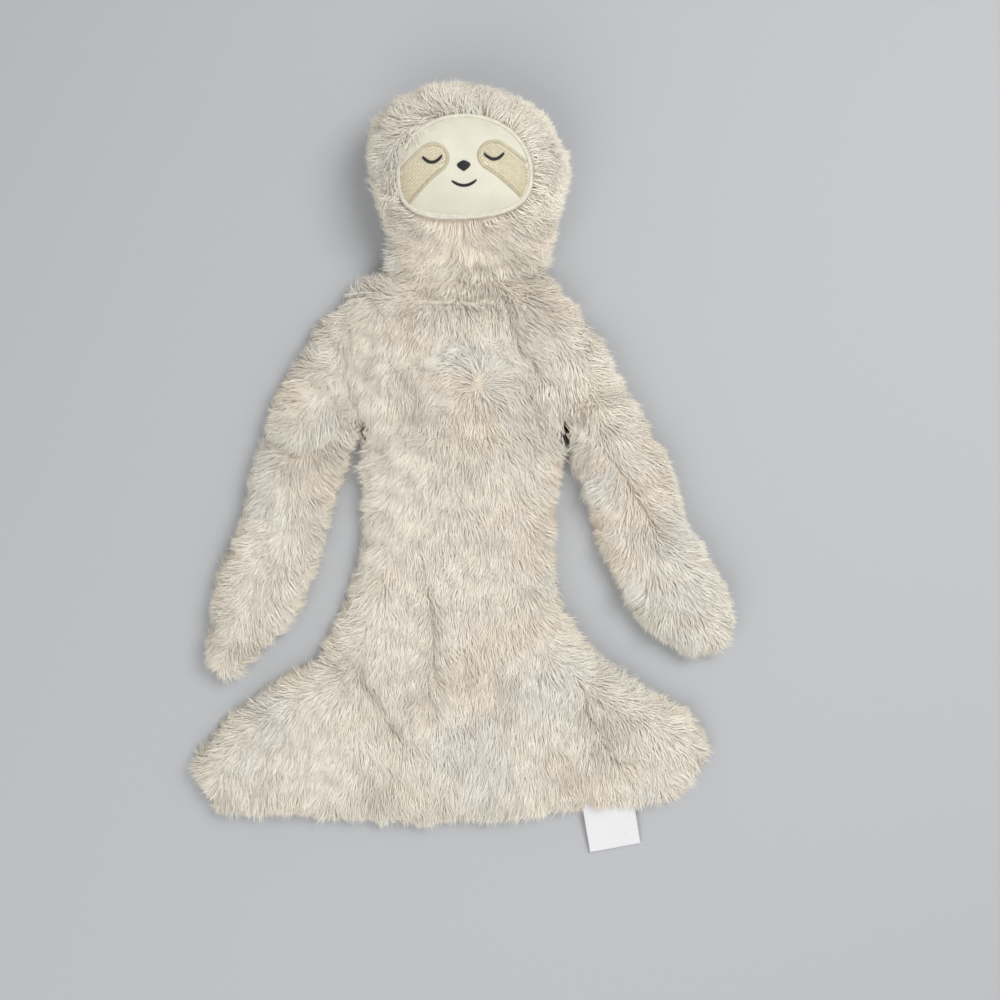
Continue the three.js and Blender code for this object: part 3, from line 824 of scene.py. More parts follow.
def short_pile_finish():
    """The brushed short pile of the face panel."""
    face = bpy.context.scene.plush_face
    material, tree, shader = new_material("short_pile", 0.9, sheen=0.45, sheen_roughness=0.35)
    place = tree.nodes.new("ShaderNodeTexCoord").outputs["Object"]
    brushed = stretched(tree, noise_node(tree, place, 75.0, 4.0), 0.35, 0.68)
    nap = noise_node(tree, place, 1500.0, 3.0)
    shade = (0.93 * face.panel_colour[0], 0.92 * face.panel_colour[1], 0.90 * face.panel_colour[2])
    colour = mixed(tree, brushed, shade, tuple(face.panel_colour))
    tree.links.new(colour, shader.inputs["Base Color"])
    bumped(tree, shader, nap, 0.35 * MM)
    return material


def thread_finish(name, colour, roughness=0.5):
    """Embroidery thread: fine twist and small changes of tone from stitch to stitch."""
    material, tree, shader = new_material(name, roughness, sheen=0.15)
    place = tree.nodes.new("ShaderNodeTexCoord").outputs["Object"]
    tone = stretched(tree, noise_node(tree, place, 420.0, 3.0), 0.3, 0.7)
    twist = noise_node(tree, place, 3200.0, 1.0)
    darker = tuple(0.88 * c for c in colour)
    lighter = tuple(min(1.0, 1.04 * c) for c in colour)
    tree.links.new(mixed(tree, tone, darker, lighter), shader.inputs["Base Color"])
    bumped(tree, shader, twist, 0.12 * MM)
    return material


def satin_finish():
    """Woven satin tape with fine floats along its length."""
    label = bpy.context.scene.plush_label
    material, tree, shader = new_material("satin_tape", 0.36, sheen=0.1)
    ground = attribute(tree, "tape")["Vector"]
    stretch = tree.nodes.new("ShaderNodeMapping")
    stretch.inputs["Scale"].default_value = (3.0, 0.4, 1.0)
    tree.links.new(ground, stretch.inputs["Vector"])
    floats = noise_node(tree, stretch.outputs["Vector"], 1100.0, 2.0)
    tone = stretched(tree, floats, 0.3, 0.7)
    darker = tuple(0.90 * c for c in label.colour)
    tree.links.new(mixed(tree, tone, darker, tuple(label.colour)), shader.inputs["Base Color"])
    bumped(tree, shader, floats, 0.06 * MM)
    return material


# The covers' fabric


def whole_skin(cover):
    """The backing of all the fabric as one surface: corners and squares."""
    nodes = [n for body in COVERS for n in (*COVERS[body], FILLINGS[body])]
    parts = [surface(nodes)] + [SEAMS[c].bridge(*BRIDGES[c]) for c in SEAMS]
    points, squares = remeshed(parts, cover.weave)
    points = relaxed(points, squares, 4)
    out = normals_of(points, squares)
    lumps = 0.6 * wander(points, 24 * MM) + 0.45 * wander(points, 11 * MM, 5.0)
    dip, _ = partings_at(points, out)
    edge = np.clip(1 - np.abs(out[:, 2]) / 0.7, 0, 1)
    shift = cover.lumps * lumps - cover.sink * (1 + 0.8 * edge) - cover.parting_depth * dip
    under_face = (face_share(points) < 1.06) & (points[:, 2] > ONLY_HEAD)
    shift[under_face] = -cover.sink
    points = points + out * shift[:, None]
    for place, width, by in REACHES:
        far = np.linalg.norm(points[:, :2] - np.array(place), axis=1)
        points[:, :2] += np.exp(-((far / width) ** 2))[:, None] * np.array(by)
    points = relaxed(points, squares, 2, 0.4)
    points[:, 2] = np.maximum(points[:, 2], cover.bed)
    return points, squares


def bodies_of(centres, lap):
    """The body that each place on the fabric is given to: the nearest cover's, or the part sewn on nearby."""
    names = list(COVERS)
    trees = [tree_of(COVERS[body]) for body in names]
    far = np.array([[tree.find_nearest(Vector(c))[3] for tree in trees] for c in centres.tolist()])
    nearest = far.argmin(1)
    gaps = np.stack([SEAMS[c].distance(centres) for c in names[1:]], axis=1)
    near_seam = (nearest == 0) & (gaps.min(1) < lap)
    nearest[near_seam] = gaps[near_seam].argmin(1) + 1
    return np.array(names)[nearest]


def closed_at_seams(mesh):
    """Closes the openings where the fabric is divided between bodies, and marks what closes them."""
    work = bmesh.new()
    work.from_mesh(mesh)
    mark = work.faces.layers.int.new("seam_cap")
    before = set(work.faces)
    open_edges = [e for e in work.edges if e.is_boundary]
    bmesh.ops.holes_fill(work, edges=open_edges, sides=0)
    caps = [f for f in work.faces if f not in before]
    made = bmesh.ops.triangulate(work, faces=caps)["faces"]
    for f in made:
        f[mark] = 1
    work.to_mesh(mesh)
    work.free()


def bend_with(piece, body):
    """The piece rides on the chest if that is its body; otherwise its placement is baked into its mesh and it
    is left unattached.
    """
    if body == "chest":
        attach(piece, body)
        return
    cover = bpy.context.scene.plush_cover
    seam = SEAMS[body]
    start, end = seam.place(-cover.seam_lap), seam.place(cover.seam_bend)
    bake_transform(piece)


class OBJECT_OT_plush_covers(bpy.types.Operator):
    """Lays the fabric's backing over each body, divided between the bodies at the seams"""

    bl_idname = "object.plush_covers"
    bl_label = "Covers"

    def execute(self, context):
        cover = context.scene.plush_cover
        points, squares = whole_skin(cover)
        owners = bodies_of(points[squares].mean(1), cover.seam_lap)
        material = backing_finish()
        for body in COVERS:
            mine = squares[owners == body]
            used, corners = np.unique(mine, return_inverse=True)
            mesh = new_mesh(body + "_cover", points[used], corners.reshape(mine.shape))
            closed_at_seams(mesh)
            rest = mesh.attributes.new("root", "FLOAT_VECTOR", "POINT")
            rest.data.foreach_set("vector", read(mesh.vertices, "co", 3, np.float32).ravel())
            piece = placed(body + "_cover", mesh, material)
            bend_with(piece, body)
            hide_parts(*COVERS[body])
        return {"FINISHED"}


class OBJECT_OT_plush_wadding(bpy.types.Operator):
    """Fills each cover with lumpy fibre"""

    bl_idname = "object.plush_wadding"
    bl_label = "Wadding"

    def execute(self, context):
        material = wadding_finish()
        for body, node in FILLINGS.items():
            points, squares = remeshed([surface([node])], 3 * MM)
            points = relaxed(points, squares, 3)
            out = normals_of(points, squares)
            points = points + out * (0.8 * MM * wander(points, 9 * MM) - 1.2 * MM)[:, None]
            for seam in [SEAMS[body]] if body in SEAMS else SEAMS.values():
                points = seam.thinned(points)
            piece = placed(body + "_wadding", new_mesh(body + "_wadding", points, squares), material)
            bend_with(piece, body)
            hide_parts(node)
        return {"FINISHED"}


# The pile


def lean_of(body, centres, out):
    """The direction in which each lock leans along the fabric: combed outwards, and over the nearest edge."""
    plan = unit(centres[:, :2] - np.array(COMBED_FROM[body]))
    if body == "chest":
        gap = centres[:, :2] - np.array(WHORL)
        near = np.exp(-((np.linalg.norm(gap, axis=1) / (24 * MM)) ** 2))
        plan = plan + 3.0 * near[:, None] * unit(gap)
    to_edge, far = nearest_edge(centres, out)
    plan = unit(plan + partings_at(centres, out)[1])
    plan = unit(plan + 2.0 * np.exp(-((far / (9 * MM)) ** 2))[:, None] * to_edge)
    if body == "head":
        plan = unit(plan + beside_face(centres))
    lean = np.column_stack((plan, -0.5 * np.clip(1 - np.abs(out[:, 2]) / 0.7, 0, 1)))
    lean[:, 1] -= 0.15
    lean = unit(lean - (lean * out).sum(1, keepdims=True) * out)
    angle = 0.55 * wander(centres, 28 * MM, 3.0) + 0.38 * wander(centres, 10 * MM, 9.0)
    side = np.cross(out, lean)
    return np.cos(angle)[:, None] * lean + np.sin(angle)[:, None] * side


def beside_face(centres):
    """The way that the pile lies over the face's edge at its upper left."""
    place = in_face(centres)
    turn = np.degrees(np.arctan2(place[:, 1], place[:, 0])) % 360
    beside = np.exp(-(((turn - 145) / 32) ** 2) - (((face_share(centres) - 1) / 0.16) ** 2))
    out = unit(place)
    along = np.stack((-out[:, 1], out[:, 0]), axis=1)
    return 3.6 * beside[:, None] * (0.4 * along - out)


def nearest_edge(centres, out):
    """The direction from each lock to the nearest free edge of its part, in plan, and the distance."""
    edge = np.flatnonzero(np.abs(out[:, 2]) < 0.35)
    tree = KDTree(len(edge))
    for i in edge.tolist():
        tree.insert((centres[i, 0], centres[i, 1], 0), i)
    tree.balance()
    found = [tree.find((x, y, 0)) for x, y, _ in centres.tolist()]
    places = np.array([tuple(place)[:2] for place, _, _ in found])
    return unit(places - centres[:, :2] + 1e-9), np.array([far for _, _, far in found])


def locks_on(skin, body):
    """Where the locks of pile stand on a cover: centre, outward direction and area of each."""
    mesh = skin.data
    centres = read(mesh.polygons, "center", 3)
    out = read(mesh.polygons, "normal", 3)
    area = read(mesh.polygons, "area", 1)
    cap = read(mesh.attributes["seam_cap"].data, "value", 1, np.int32)
    keep = cap == 0
    if body == "head":
        keep &= ~((face_share(centres) < 0.985) & (centres[:, 2] > ONLY_HEAD))
    return centres[keep], out[keep], area[keep]


class Locks:
    """The locks of pile on one side of one part, and how each lies."""

    def __init__(self, centres, out, area, lean, rng):
        pile = bpy.context.scene.plush_pile
        n = len(area)
        self.centres, self.out, self.area, self.lean = centres, out, area, lean
        self.side = np.cross(out, lean)
        self.under = np.clip(-out[:, 2] / 0.6, 0, 1)
        self.edge = np.clip(1 - np.abs(out[:, 2]) / 0.7, 0, 1)
        # Tufts stand higher, the pile under the toy is pressed flat, and that on the rim stands out
        tuft, self.draw = self.tufts(centres, lean)
        self.rise = 1 + 0.45 * wander(centres, 20 * MM, 13.0) + 0.5 * tuft
        self.rise *= 1 - 0.75 * self.under
        self.rise += 0.55 * self.edge
        # It stands up beside the face and in the middle of the whorl
        on_head = centres[:, 2] > ONLY_HEAD
        self.rise += 1.3 * np.exp(-(((face_share(centres) - 1) / 0.07) ** 2)) * on_head
        from_whorl = np.linalg.norm(centres[:, :2] - np.array(WHORL), axis=1)
        self.rise += 1.1 * np.exp(-((from_whorl / (5 * MM)) ** 2)) * (out[:, 2] > 0.3)
        vary = 0.15 * wander(centres, 15 * MM, 17.0) + 0.10 * rng.standard_normal(n)
        self.length = pile.length * (1 + vary) * (1 - 0.3 * self.under + 0.12 * self.edge)
        # It is short in the right armpit, where the gap stays open
        self.length *= 1 - 0.55 * along_lines(centres, (RIGHT_ARMPIT,), 6 * MM)
        self.turn = 0.45 * wander(centres, 8 * MM, 21.0) + 0.10 * rng.standard_normal(n)
        self.perk = 0.15 * tuft
        slow = wander(centres, 26 * MM, 37.0)
        # The flat back is more even in tone
        even = 1 - 0.65 * self.under
        # Tone is lighter on tuft crests and darker between tufts, as painted light and shade, with slow
        # random patches and random specks besides
        self.tone = 0.3 * rng.random(n) + 0.7 * (0.45 + even * (1.6 * tuft + 0.9 * slow))
        # Tousled pile lies crooked, and painted shade darkens it there
        tousled_and_shaded = along_lines(centres, TOUSLED_AND_SHADED, 8 * MM)
        self.turn += 1.6 * tousled_and_shaded * wander(centres, 6 * MM, 51.0)
        self.tone -= 0.4 * tousled_and_shaded
        # Where it is parted or ruffled, its foot shows, and painted shade darkens it
        ruffled = np.clip(1.8 * wander(centres, 17 * MM, 33.0) + 0.9 * tousled_and_shaded - 0.25, 0, 0.75)
        parted = partings_at(centres, out)[0]
        self.draw *= (1 - np.minimum(parted, 1))[:, None]
        self.dip = np.maximum(parted, even * ruffled)
        self.rise += 0.6 * ruffled

    def tufts(self, centres, lean):
        """How near each lock is to the middle of a tuft, and how far its tips are drawn there."""
        step = 0.8 * MM
        here = wander(centres, TUFT, 41.0)
        slopes = [wander(centres + step * way, TUFT, 41.0) - here for way in (lean, self.side)]
        return here, 24 * MM * np.stack(slopes, axis=1) * (1 - 0.5 * self.edge[:, None])

    def grow(self, front, back, bend, rng):
        """Strands at those densities on the front and back.

        Each has a root, a middle, a tip, a first heading, its fabric's direction, a tone value that carries
        painted shade, and how deep it lies.
        """
        pile = bpy.context.scene.plush_pile
        cover = bpy.context.scene.plush_cover
        density = front + (back - front) * self.under
        count = np.floor(self.area / MM**2 * density + rng.random(len(self.area))).astype(int)
        which = np.repeat(np.arange(len(count)), count)
        n = len(which)
        out, lean, side = self.out[which], self.lean[which], self.side[which]
        rise = self.rise[which] * (1 + 0.18 * rng.standard_normal(n))
        radius = 0.62 * cover.weave * np.sqrt(rng.random(n))
        around = 2 * np.pi * rng.random(n)
        offset = (radius * np.cos(around))[:, None] * lean + (radius * np.sin(around))[:, None] * side
        half = (0.5 * self.length[which] * (1 + 0.12 * rng.standard_normal(n)))[:, None]
        turn = self.turn[which] + 0.13 * rng.standard_normal(n)
        low = np.clip(pile.lift_at_foot * rise, 0.05, 1.35)
        high = np.clip(pile.lift_at_tip * rise + 0.5 * self.edge[which] + self.perk[which], -0.12, 1.0)
        gather = (pile.gather + 0.3 * self.edge[which])[:, None]

        def heading(angle, lift):
            flat = np.cos(angle)[:, None] * lean + np.sin(angle)[:, None] * side
            return np.cos(lift)[:, None] * flat + np.sin(lift)[:, None] * out

        # Each is rooted a little inside the backing, and its tip is drawn to its lock and its tuft
        root = self.centres[which] + offset - 0.4 * MM * out
        first = heading(turn, low)
        second = heading(turn + bend * rng.standard_normal(n), high)
        drawn = self.draw[which, :1] * lean + self.draw[which, 1:] * side
        middle = root + half * first - 0.35 * gather * offset + 0.35 * drawn
        tip = middle + half * second - 0.65 * gather * offset + 0.65 * drawn
        # Strands deep in a parting or ruffle are darker all along: painted shade
        deep = np.minimum(self.dip[which], 1)
        tint_and_shade = np.clip(0.7 * self.tone[which] + 0.3 * rng.random(n), 0, 1) - 0.5 * deep
        return root, middle, tip, first, out, tint_and_shade, deep


def strands(made, width, jointed):
    """Closed three-sided points, from their roots to their tips: corners, faces and their shading directions.

    A jointed one bends at its middle. The map spreads each one out round its tip in a cell of its own.
    Strands are lit like the fabric they stand on, but at the rim their undersides keep to their own side.
    """
    softness = bpy.context.scene.plush_pile.softness
    root, middle, tip, first, out, tint_and_shade, deep = made
    lit = unit(out + 1.2 * (out[:, 2:] > -0.2) * UP)
    heading = first if jointed else unit(tip - root)
    across = unit(np.cross(heading, out))
    over = np.cross(across, heading)
    levels = [(root, 1.0, 0.46, 0.0)] + ([(middle, 0.9, 0.26, 0.5)] if jointed else [])
    # Deep in a parting the foot colour reaches further up each strand: painted shade
    points, facing, spots, along = [], [], [], []
    for place, share, reach, far in levels:
        for k in range(3):
            turn = k * 2 * math.pi / 3 - math.pi / 2
            side = math.cos(turn) * across + math.sin(turn) * over
            points.append(place + 0.5 * width * share * side)
            facing.append(unit((1 - softness) * side + softness * lit))
            spots.append((0.5 + reach * math.cos(turn), 0.48 + reach * math.sin(turn)))
            along.append(far * (1 - 0.6 * deep))
    points.append(tip)
    facing.append(lit)
    spots.append((0.5, 0.48))
    along.append(1 - 0.6 * deep)
    last = len(points) - 1
    faces = []
    for k in range(3):
        after = (k + 2) % 3
        if jointed:
            faces += [(k, after, 3 + after), (k, 3 + after, 3 + k)]
        faces.append((last - 3 + k, last - 3 + after, last))
    corner = [(0.02, 0.02), (0.10, 0.02), (0.02, 0.10)]
    places = [[spots[v] for v in face] for face in faces] + [corner]
    faces.append((0, 1, 2))
    points, along, faces = np.stack(points, 1), np.stack(along, 1), np.array(faces)
    a, b, c = (points[:, faces[:, k]] for k in range(3))
    own = unit(np.cross(b - a, c - a))[:, :, None]
    toward = np.stack(facing, 1)[:, faces]
    at_rim = np.clip((0.75 - np.abs(out[:, 2])) / 0.4, 0, 1)[:, None, None, None]
    away = np.minimum((toward * own).sum(3, keepdims=True), 0)
    return points, unit(toward - 2 * at_rim * away * own), faces, np.array(places), along, tint_and_shade, root


def pile_mesh(name, kinds):
    """One mesh of several kinds of strand."""
    columns = math.ceil(math.sqrt(sum(len(k[0]) for k in kinds)))
    points, facing, faces, spots, along, tints_and_shades, roots = [], [], [], [], [], [], []
    start = first = 0
    for place, direction, shape, places, share, tint_and_shade, root in kinds:
        n, corners = place.shape[:2]
        points.append(place.reshape(-1, 3))
        facing.append(direction.reshape(-1, 3))
        faces.append((start + np.arange(n)[:, None, None] * corners + shape).reshape(-1, 3))
        cell = np.stack(((first + np.arange(n)) % columns, (first + np.arange(n)) // columns), axis=1)
        spots.append(((cell[:, None, None, :] + places) / columns).reshape(-1, 2))
        along.append(share.ravel())
        tints_and_shades.append(np.repeat(tint_and_shade, corners))
        roots.append(np.repeat(root, corners, axis=0))
        start += n * corners
        first += n
    points = np.concatenate(points)
    points[:, 2] = np.maximum(points[:, 2], 0.12 * MM)
    mesh = new_mesh(name, points, np.concatenate(faces))
    mesh.uv_layers.new(name="OFBake").data.foreach_set("uv", np.concatenate(spots).astype(np.float32).ravel())
    for label, kind, key, values in (
        ("along", "FLOAT", "value", along),
        ("tint_and_shade", "FLOAT", "value", tints_and_shades),
        ("root", "FLOAT_VECTOR", "vector", roots),
    ):
        data = mesh.attributes.new(label, kind, "POINT").data
        data.foreach_set(key, np.concatenate(values).astype(np.float32).ravel())
    mesh.shade_smooth()
    mesh.normals_split_custom_set(np.concatenate(facing).tolist())
    return mesh


def portions(made, count):
    """The strands in that many runs from the crown down."""
    order = np.argsort(-made[0][:, 1], kind="stable")
    return [[values[chosen] for values in made] for chosen in np.array_split(order, count)]


class OBJECT_OT_plush_pile(bpy.types.Operator):
    """Stands the long pile on every cover"""

    bl_idname = "object.plush_pile"
    bl_label = "Long pile"

    def execute(self, context):
        pile = context.scene.plush_pile
        rng = np.random.default_rng(SEED)
        material = pile_finish()
        most_faces = 180000
        for body in COVERS:
            centres, out, area = locks_on(bpy.data.objects[body + "_cover"], body)
            lean = lean_of(body, centres, out)
            for side, mine in (("front", out[:, 2] > -0.25), ("back", out[:, 2] <= -0.25)):
                locks = Locks(centres[mine], out[mine], area[mine], lean[mine], rng)
                bundles = locks.grow(pile.front_bundles, pile.back_bundles, 0.16, rng)
                fibres = locks.grow(pile.front_fibres, pile.back_fibres, 0.30, rng)
                parts = math.ceil((10 * len(bundles[0]) + 4 * len(fibres[0])) / most_faces)
                pairs = zip(portions(bundles, parts), portions(fibres, parts))
                for i, (thick, thin) in enumerate(pairs):
                    name = f"{body}_{side}_pile" + (f"_{i + 1}" if parts > 1 else "")
                    kinds = [strands(thick, pile.bundle, True), strands(thin, pile.fibre, False)]
                    piece = placed(name, pile_mesh(name, kinds), material, smooth=False)
                    bend_with(piece, body)
        return {"FINISHED"}


# The face


def thread_run(path, radius, sides=5):
    """A closed round thread along a path: corners and triangles."""
    path = np.asarray(path)
    ahead = unit(np.gradient(path, axis=0))
    across = unit(np.cross(ahead, UP))
    over = np.cross(ahead, across)
    swell = np.ones(len(path))
    swell[[0, -1]] = 0.35
    turns = 2 * np.pi * np.arange(sides) / sides
    ring = np.cos(turns)[None, :, None] * across[:, None] + np.sin(turns)[None, :, None] * over[:, None]
    points = (path[:, None] + radius * swell[:, None, None] * ring).reshape(-1, 3)
    faces = []
    for i in range(len(path) - 1):
        for k in range(sides):
            a, b = i * sides + k, i * sides + (k + 1) % sides
            faces += [(a, b, b + sides), (a, b + sides, a + sides)]
    last = (len(path) - 1) * sides
    for k in range(1, sides - 1):
        faces += [(0, k + 1, k), (last, last + k, last + k + 1)]
    return points, np.array(faces)


def gathered(name, runs, material):
    """One piece from several runs of thread."""
    starts = np.cumsum([0] + [len(p) for p, _ in runs[:-1]])
    points = np.concatenate([p for p, _ in runs])
    faces = np.concatenate([f + s for (_, f), s in zip(runs, starts)])
    return placed(name, new_mesh(name, points, faces), material)


def satin_stitches(line, widths, lift, dome, radius, slant=0.15, crown=0.5):
    """Stitches side by side across a line in the face's frame, each arched over the last layer."""
    line = np.asarray(line)
    ahead = unit(np.gradient(line, axis=0))
    runs = []
    for (x, y), (dx, dy), width in zip(line, ahead, widths):
        nx, ny = -dy + slant * dx, dx + slant * dy
        path = []
        for s in np.linspace(-1, 1, 7):
            px, py = on_face(x + nx * s * width / 2, y + ny * s * width / 2)
            path.append((px, py, dome(px, py) + lift + crown * MM * (1 - abs(s) ** 2.6)))
        runs.append(thread_run(path, radius))
    return runs


def spaced(line, pitch):
    """Points that far apart along a line."""
    line = np.asarray(line)
    far = np.concatenate(([0], np.cumsum(np.linalg.norm(np.diff(line, axis=0), axis=1))))
    at = np.arange(0, far[-1], pitch)
    return np.stack([np.interp(at, far, line[:, k]) for k in range(line.shape[1])], axis=1)


def face_piece(piece, slot, *nodes):
    """The piece rides on the head and stands for those solids."""
    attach(piece, "head")
    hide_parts(*nodes)


class OBJECT_OT_plush_face(bpy.types.Operator):
    """Sews the short-pile face panel on, with its stitched edge"""

    bl_idname = "object.plush_face"
    bl_label = "Face panel"

    def execute(self, context):
        face = context.scene.plush_face
        dome = Dome()
        rings, around, depth = 30, 120, 1.4 * MM
        points, faces = [], []
        for i in range(rings + 1):
            share = i / rings
            for k in range(around):
                x, y = rim(2 * math.pi * k / around)
                px, py = on_face(x * share, y * share)
                plump = PANEL_DOME * (1 - share**2) - 0.9 * MM * share**14
                dents = 0.28 * MM * noise.noise(Vector((px, py, 0)) / (11 * MM)) * (1 - share**4)
                points.append((px, py, dome(px, py) + PANEL_TOP + plump + dents))
        points += [(x, y, z - depth) for x, y, z in points[-around:]]
        for i in range(rings + 1):
            for k in range(around):
                a, b = i * around + k, i * around + (k + 1) % around
                faces.append((a, a + around, b + around, b))
        points.append((*on_face(0, 0), dome(*on_face(0, 0)) + PANEL_TOP - depth))
        mesh = new_mesh("face_panel_fabric", points, faces)
        work = bmesh.new()
        work.from_mesh(mesh)
        bmesh.ops.remove_doubles(work, verts=work.verts, dist=0.01 * MM)
        work.verts.ensure_lookup_table()
        low = work.verts[-1]
        edges = [e for e in work.edges if e.is_boundary]
        for e in edges:
            work.faces.new((e.verts[0], e.verts[1], low))
        bmesh.ops.recalc_face_normals(work, faces=work.faces)
        work.to_mesh(mesh)
        work.free()
        panel = placed("face_panel_fabric", mesh, short_pile_finish())
        face_piece(panel, "face_plush", "face_panel")

        steps = 720
        line = spaced([rim(2 * math.pi * k / steps) for k in range(steps + 1)], 0.43 * MM)
        runs = satin_stitches(line, [face.border_width] * len(line), 1.35 * MM, dome, face.thread, 0.2, 0.95)
        core = [(*on_face(*p), 0) for p in spaced(line, 2 * MM)]
        core = [(x, y, dome(x, y) + 1.5 * MM) for x, y, _ in core]
        core.append(core[0])
        runs.append(thread_run(core, 0.85 * MM, 8))
        border = gathered("face_edge_rope", runs, thread_finish("edge_thread", face.border_colour))
        face_piece(border, "border_thread", "face_edge_stitching")
        return {"FINISHED"}


class Patch:
    """One eye patch: a strip with a round inner end that slants down and out to the edge of the face."""

    def __init__(self, side):
        face = bpy.context.scene.plush_face
        self.side = side
        self.half = face.patch_width / 2
        self.along = np.array((math.cos(face.patch_slant), -math.sin(face.patch_slant)))
        self.beside = np.array((-self.along[1], self.along[0]))
        self.start = np.array((9 * MM, 12.5 * MM))

    def place(self, s, off):
        """The point in the face's frame that far along the patch and to its side."""
        p = self.start + self.along * s + self.beside * (off + 0.8 * MM * math.sin(s / (9 * MM)))
        return self.side * p[0], p[1]

    def row(self, off, inset, step):
        """Points along the patch at that distance from its middle line, out to the edge of the face."""
        reach = self.half - inset
        s = self.half - math.sqrt(max(reach * reach - off * off, 0))
        line = []
        while s < 60 * MM:
            p = self.place(s, off)
            if face_share(np.array([on_face(*p)]))[0] > 0.955:
                break
            line.append((s, *p))
            s += step
        return line

    def outline(self, inset):
        """The patch's own edge, from the face's edge round its inner end and back."""
        reach = self.half - inset
        low = [p[1:] for p in self.row(-reach, inset, 0.5 * MM)]
        high = [p[1:] for p in self.row(reach, inset, 0.5 * MM)]
        turns = np.linspace(-math.pi / 2, math.pi / 2, 30)[1:-1]
        inner = [self.place(self.half - reach * math.cos(t), reach * math.sin(t)) for t in turns]
        return low[::-1] + inner + high


def panel_height(x, y, dome):
    """Height of the face panel at a place in plan."""
    share = face_share(np.array([(x, y)]))[0]
    return dome(x, y) + PANEL_TOP + PANEL_DOME * (1 - share**2)


def patch_threads(side, dome):
    """Rows of fill stitch with dips where the needle went in, inside a band of satin stitch."""
    patch = Patch(side)
    pitch, inset = 1.45 * MM, 2.2 * MM
    runs = []
    for i, off in enumerate(np.arange(-patch.half + inset, patch.half - inset + 0.1 * MM, pitch)):
        path = []
        for s, fx, fy in patch.row(off, inset, 0.42 * MM):
            x, y = on_face(fx, fy)
            phase = (s / (3.4 * MM) + 0.5 * (i % 2)) % 1.0
            dip = 0.45 * MM * math.exp(-(((phase - 0.5) / 0.12) ** 2))
            path.append((x, y, panel_height(x, y, dome) - 0.1 * MM - dip))
        if len(path) > 3:
            runs.append(thread_run(path, 0.64 * MM, 7))

    def on_panel(x, y):
        return panel_height(x, y, dome)

    line = spaced(patch.outline(0.85 * MM), 0.44 * MM)
    runs += satin_stitches(line, [1.7 * MM] * len(line), 0.1 * MM, on_panel, 0.25 * MM, 0.1, 0.5)
    return runs


class OBJECT_OT_plush_eye_patches(bpy.types.Operator):
    """Stitches the two tan eye patches"""

    bl_idname = "object.plush_eye_patches"
    bl_label = "Eye patches"

    def execute(self, context):
        dome = Dome()
        material = thread_finish("patch_thread", context.scene.plush_face.patch_colour, 0.55)
        for name, side in (("left", 1), ("right", -1)):
            piece = gathered(name + "_eye_patch_stitches", patch_threads(side, dome), material)
            face_piece(piece, "tan_thread", name + "_eye_patch")
        return {"FINISHED"}


def bow(x, y, span, drop):
    """A line that sags by drop between its ends, in the face's frame."""
    return [(x + s * span / 2, y + drop * (s * s - 1)) for s in np.linspace(-1, 1, 41)]


class OBJECT_OT_plush_dark_stitches(bpy.types.Operator):
    """Stitches the closed lids, the nose and the mouth"""

    bl_idname = "object.plush_dark_stitches"
    bl_label = "Lids, nose and mouth"

    def execute(self, context):
        face = context.scene.plush_face
        dome = Dome()
        material = thread_finish("dark_thread", face.dark_colour, 0.42)
        pitch, radius = 0.36 * MM, 0.21 * MM
        for name, side in (("left", 1), ("right", -1)):
            line = spaced(bow(side * 16.5 * MM, 9 * MM, 10.5 * MM, 3.2 * MM), pitch)
            ends = np.linspace(-1, 1, len(line))
            widths = 1.7 * MM * (1 - 0.5 * ends**4)
            runs = satin_stitches(line, widths, LID_TOP, dome, radius)
            piece = gathered(name + "_eyelid_stitches", runs, material)
            face_piece(piece, "dark_thread", name + "_eyelid_stitching")
        line = spaced(bow(0, -4.5 * MM, 13 * MM, 2.6 * MM), pitch)
        widths = 1.6 * MM * (1 - 0.5 * np.linspace(-1, 1, len(line)) ** 4)
        runs = satin_stitches(line, widths, PANEL_TOP + 0.65 * MM, dome, radius)
        face_piece(gathered("mouth_stitches", runs, material), "dark_thread", "mouth_stitching")
        shares = np.linspace(0.03, 0.97, 16)
        line = [(0, 3 * MM + 5.4 * MM * (s - 0.5)) for s in shares]
        widths = [7.6 * MM * math.sin(math.pi * s**1.35) ** 0.6 for s in shares]
        runs = satin_stitches(line, widths, PANEL_TOP + 0.7 * MM, dome, 0.23 * MM, 0.0, 0.75)
        face_piece(gathered("nose_stitches", runs, material), "dark_thread", "nose_stitching")
        return {"FINISHED"}


# The label


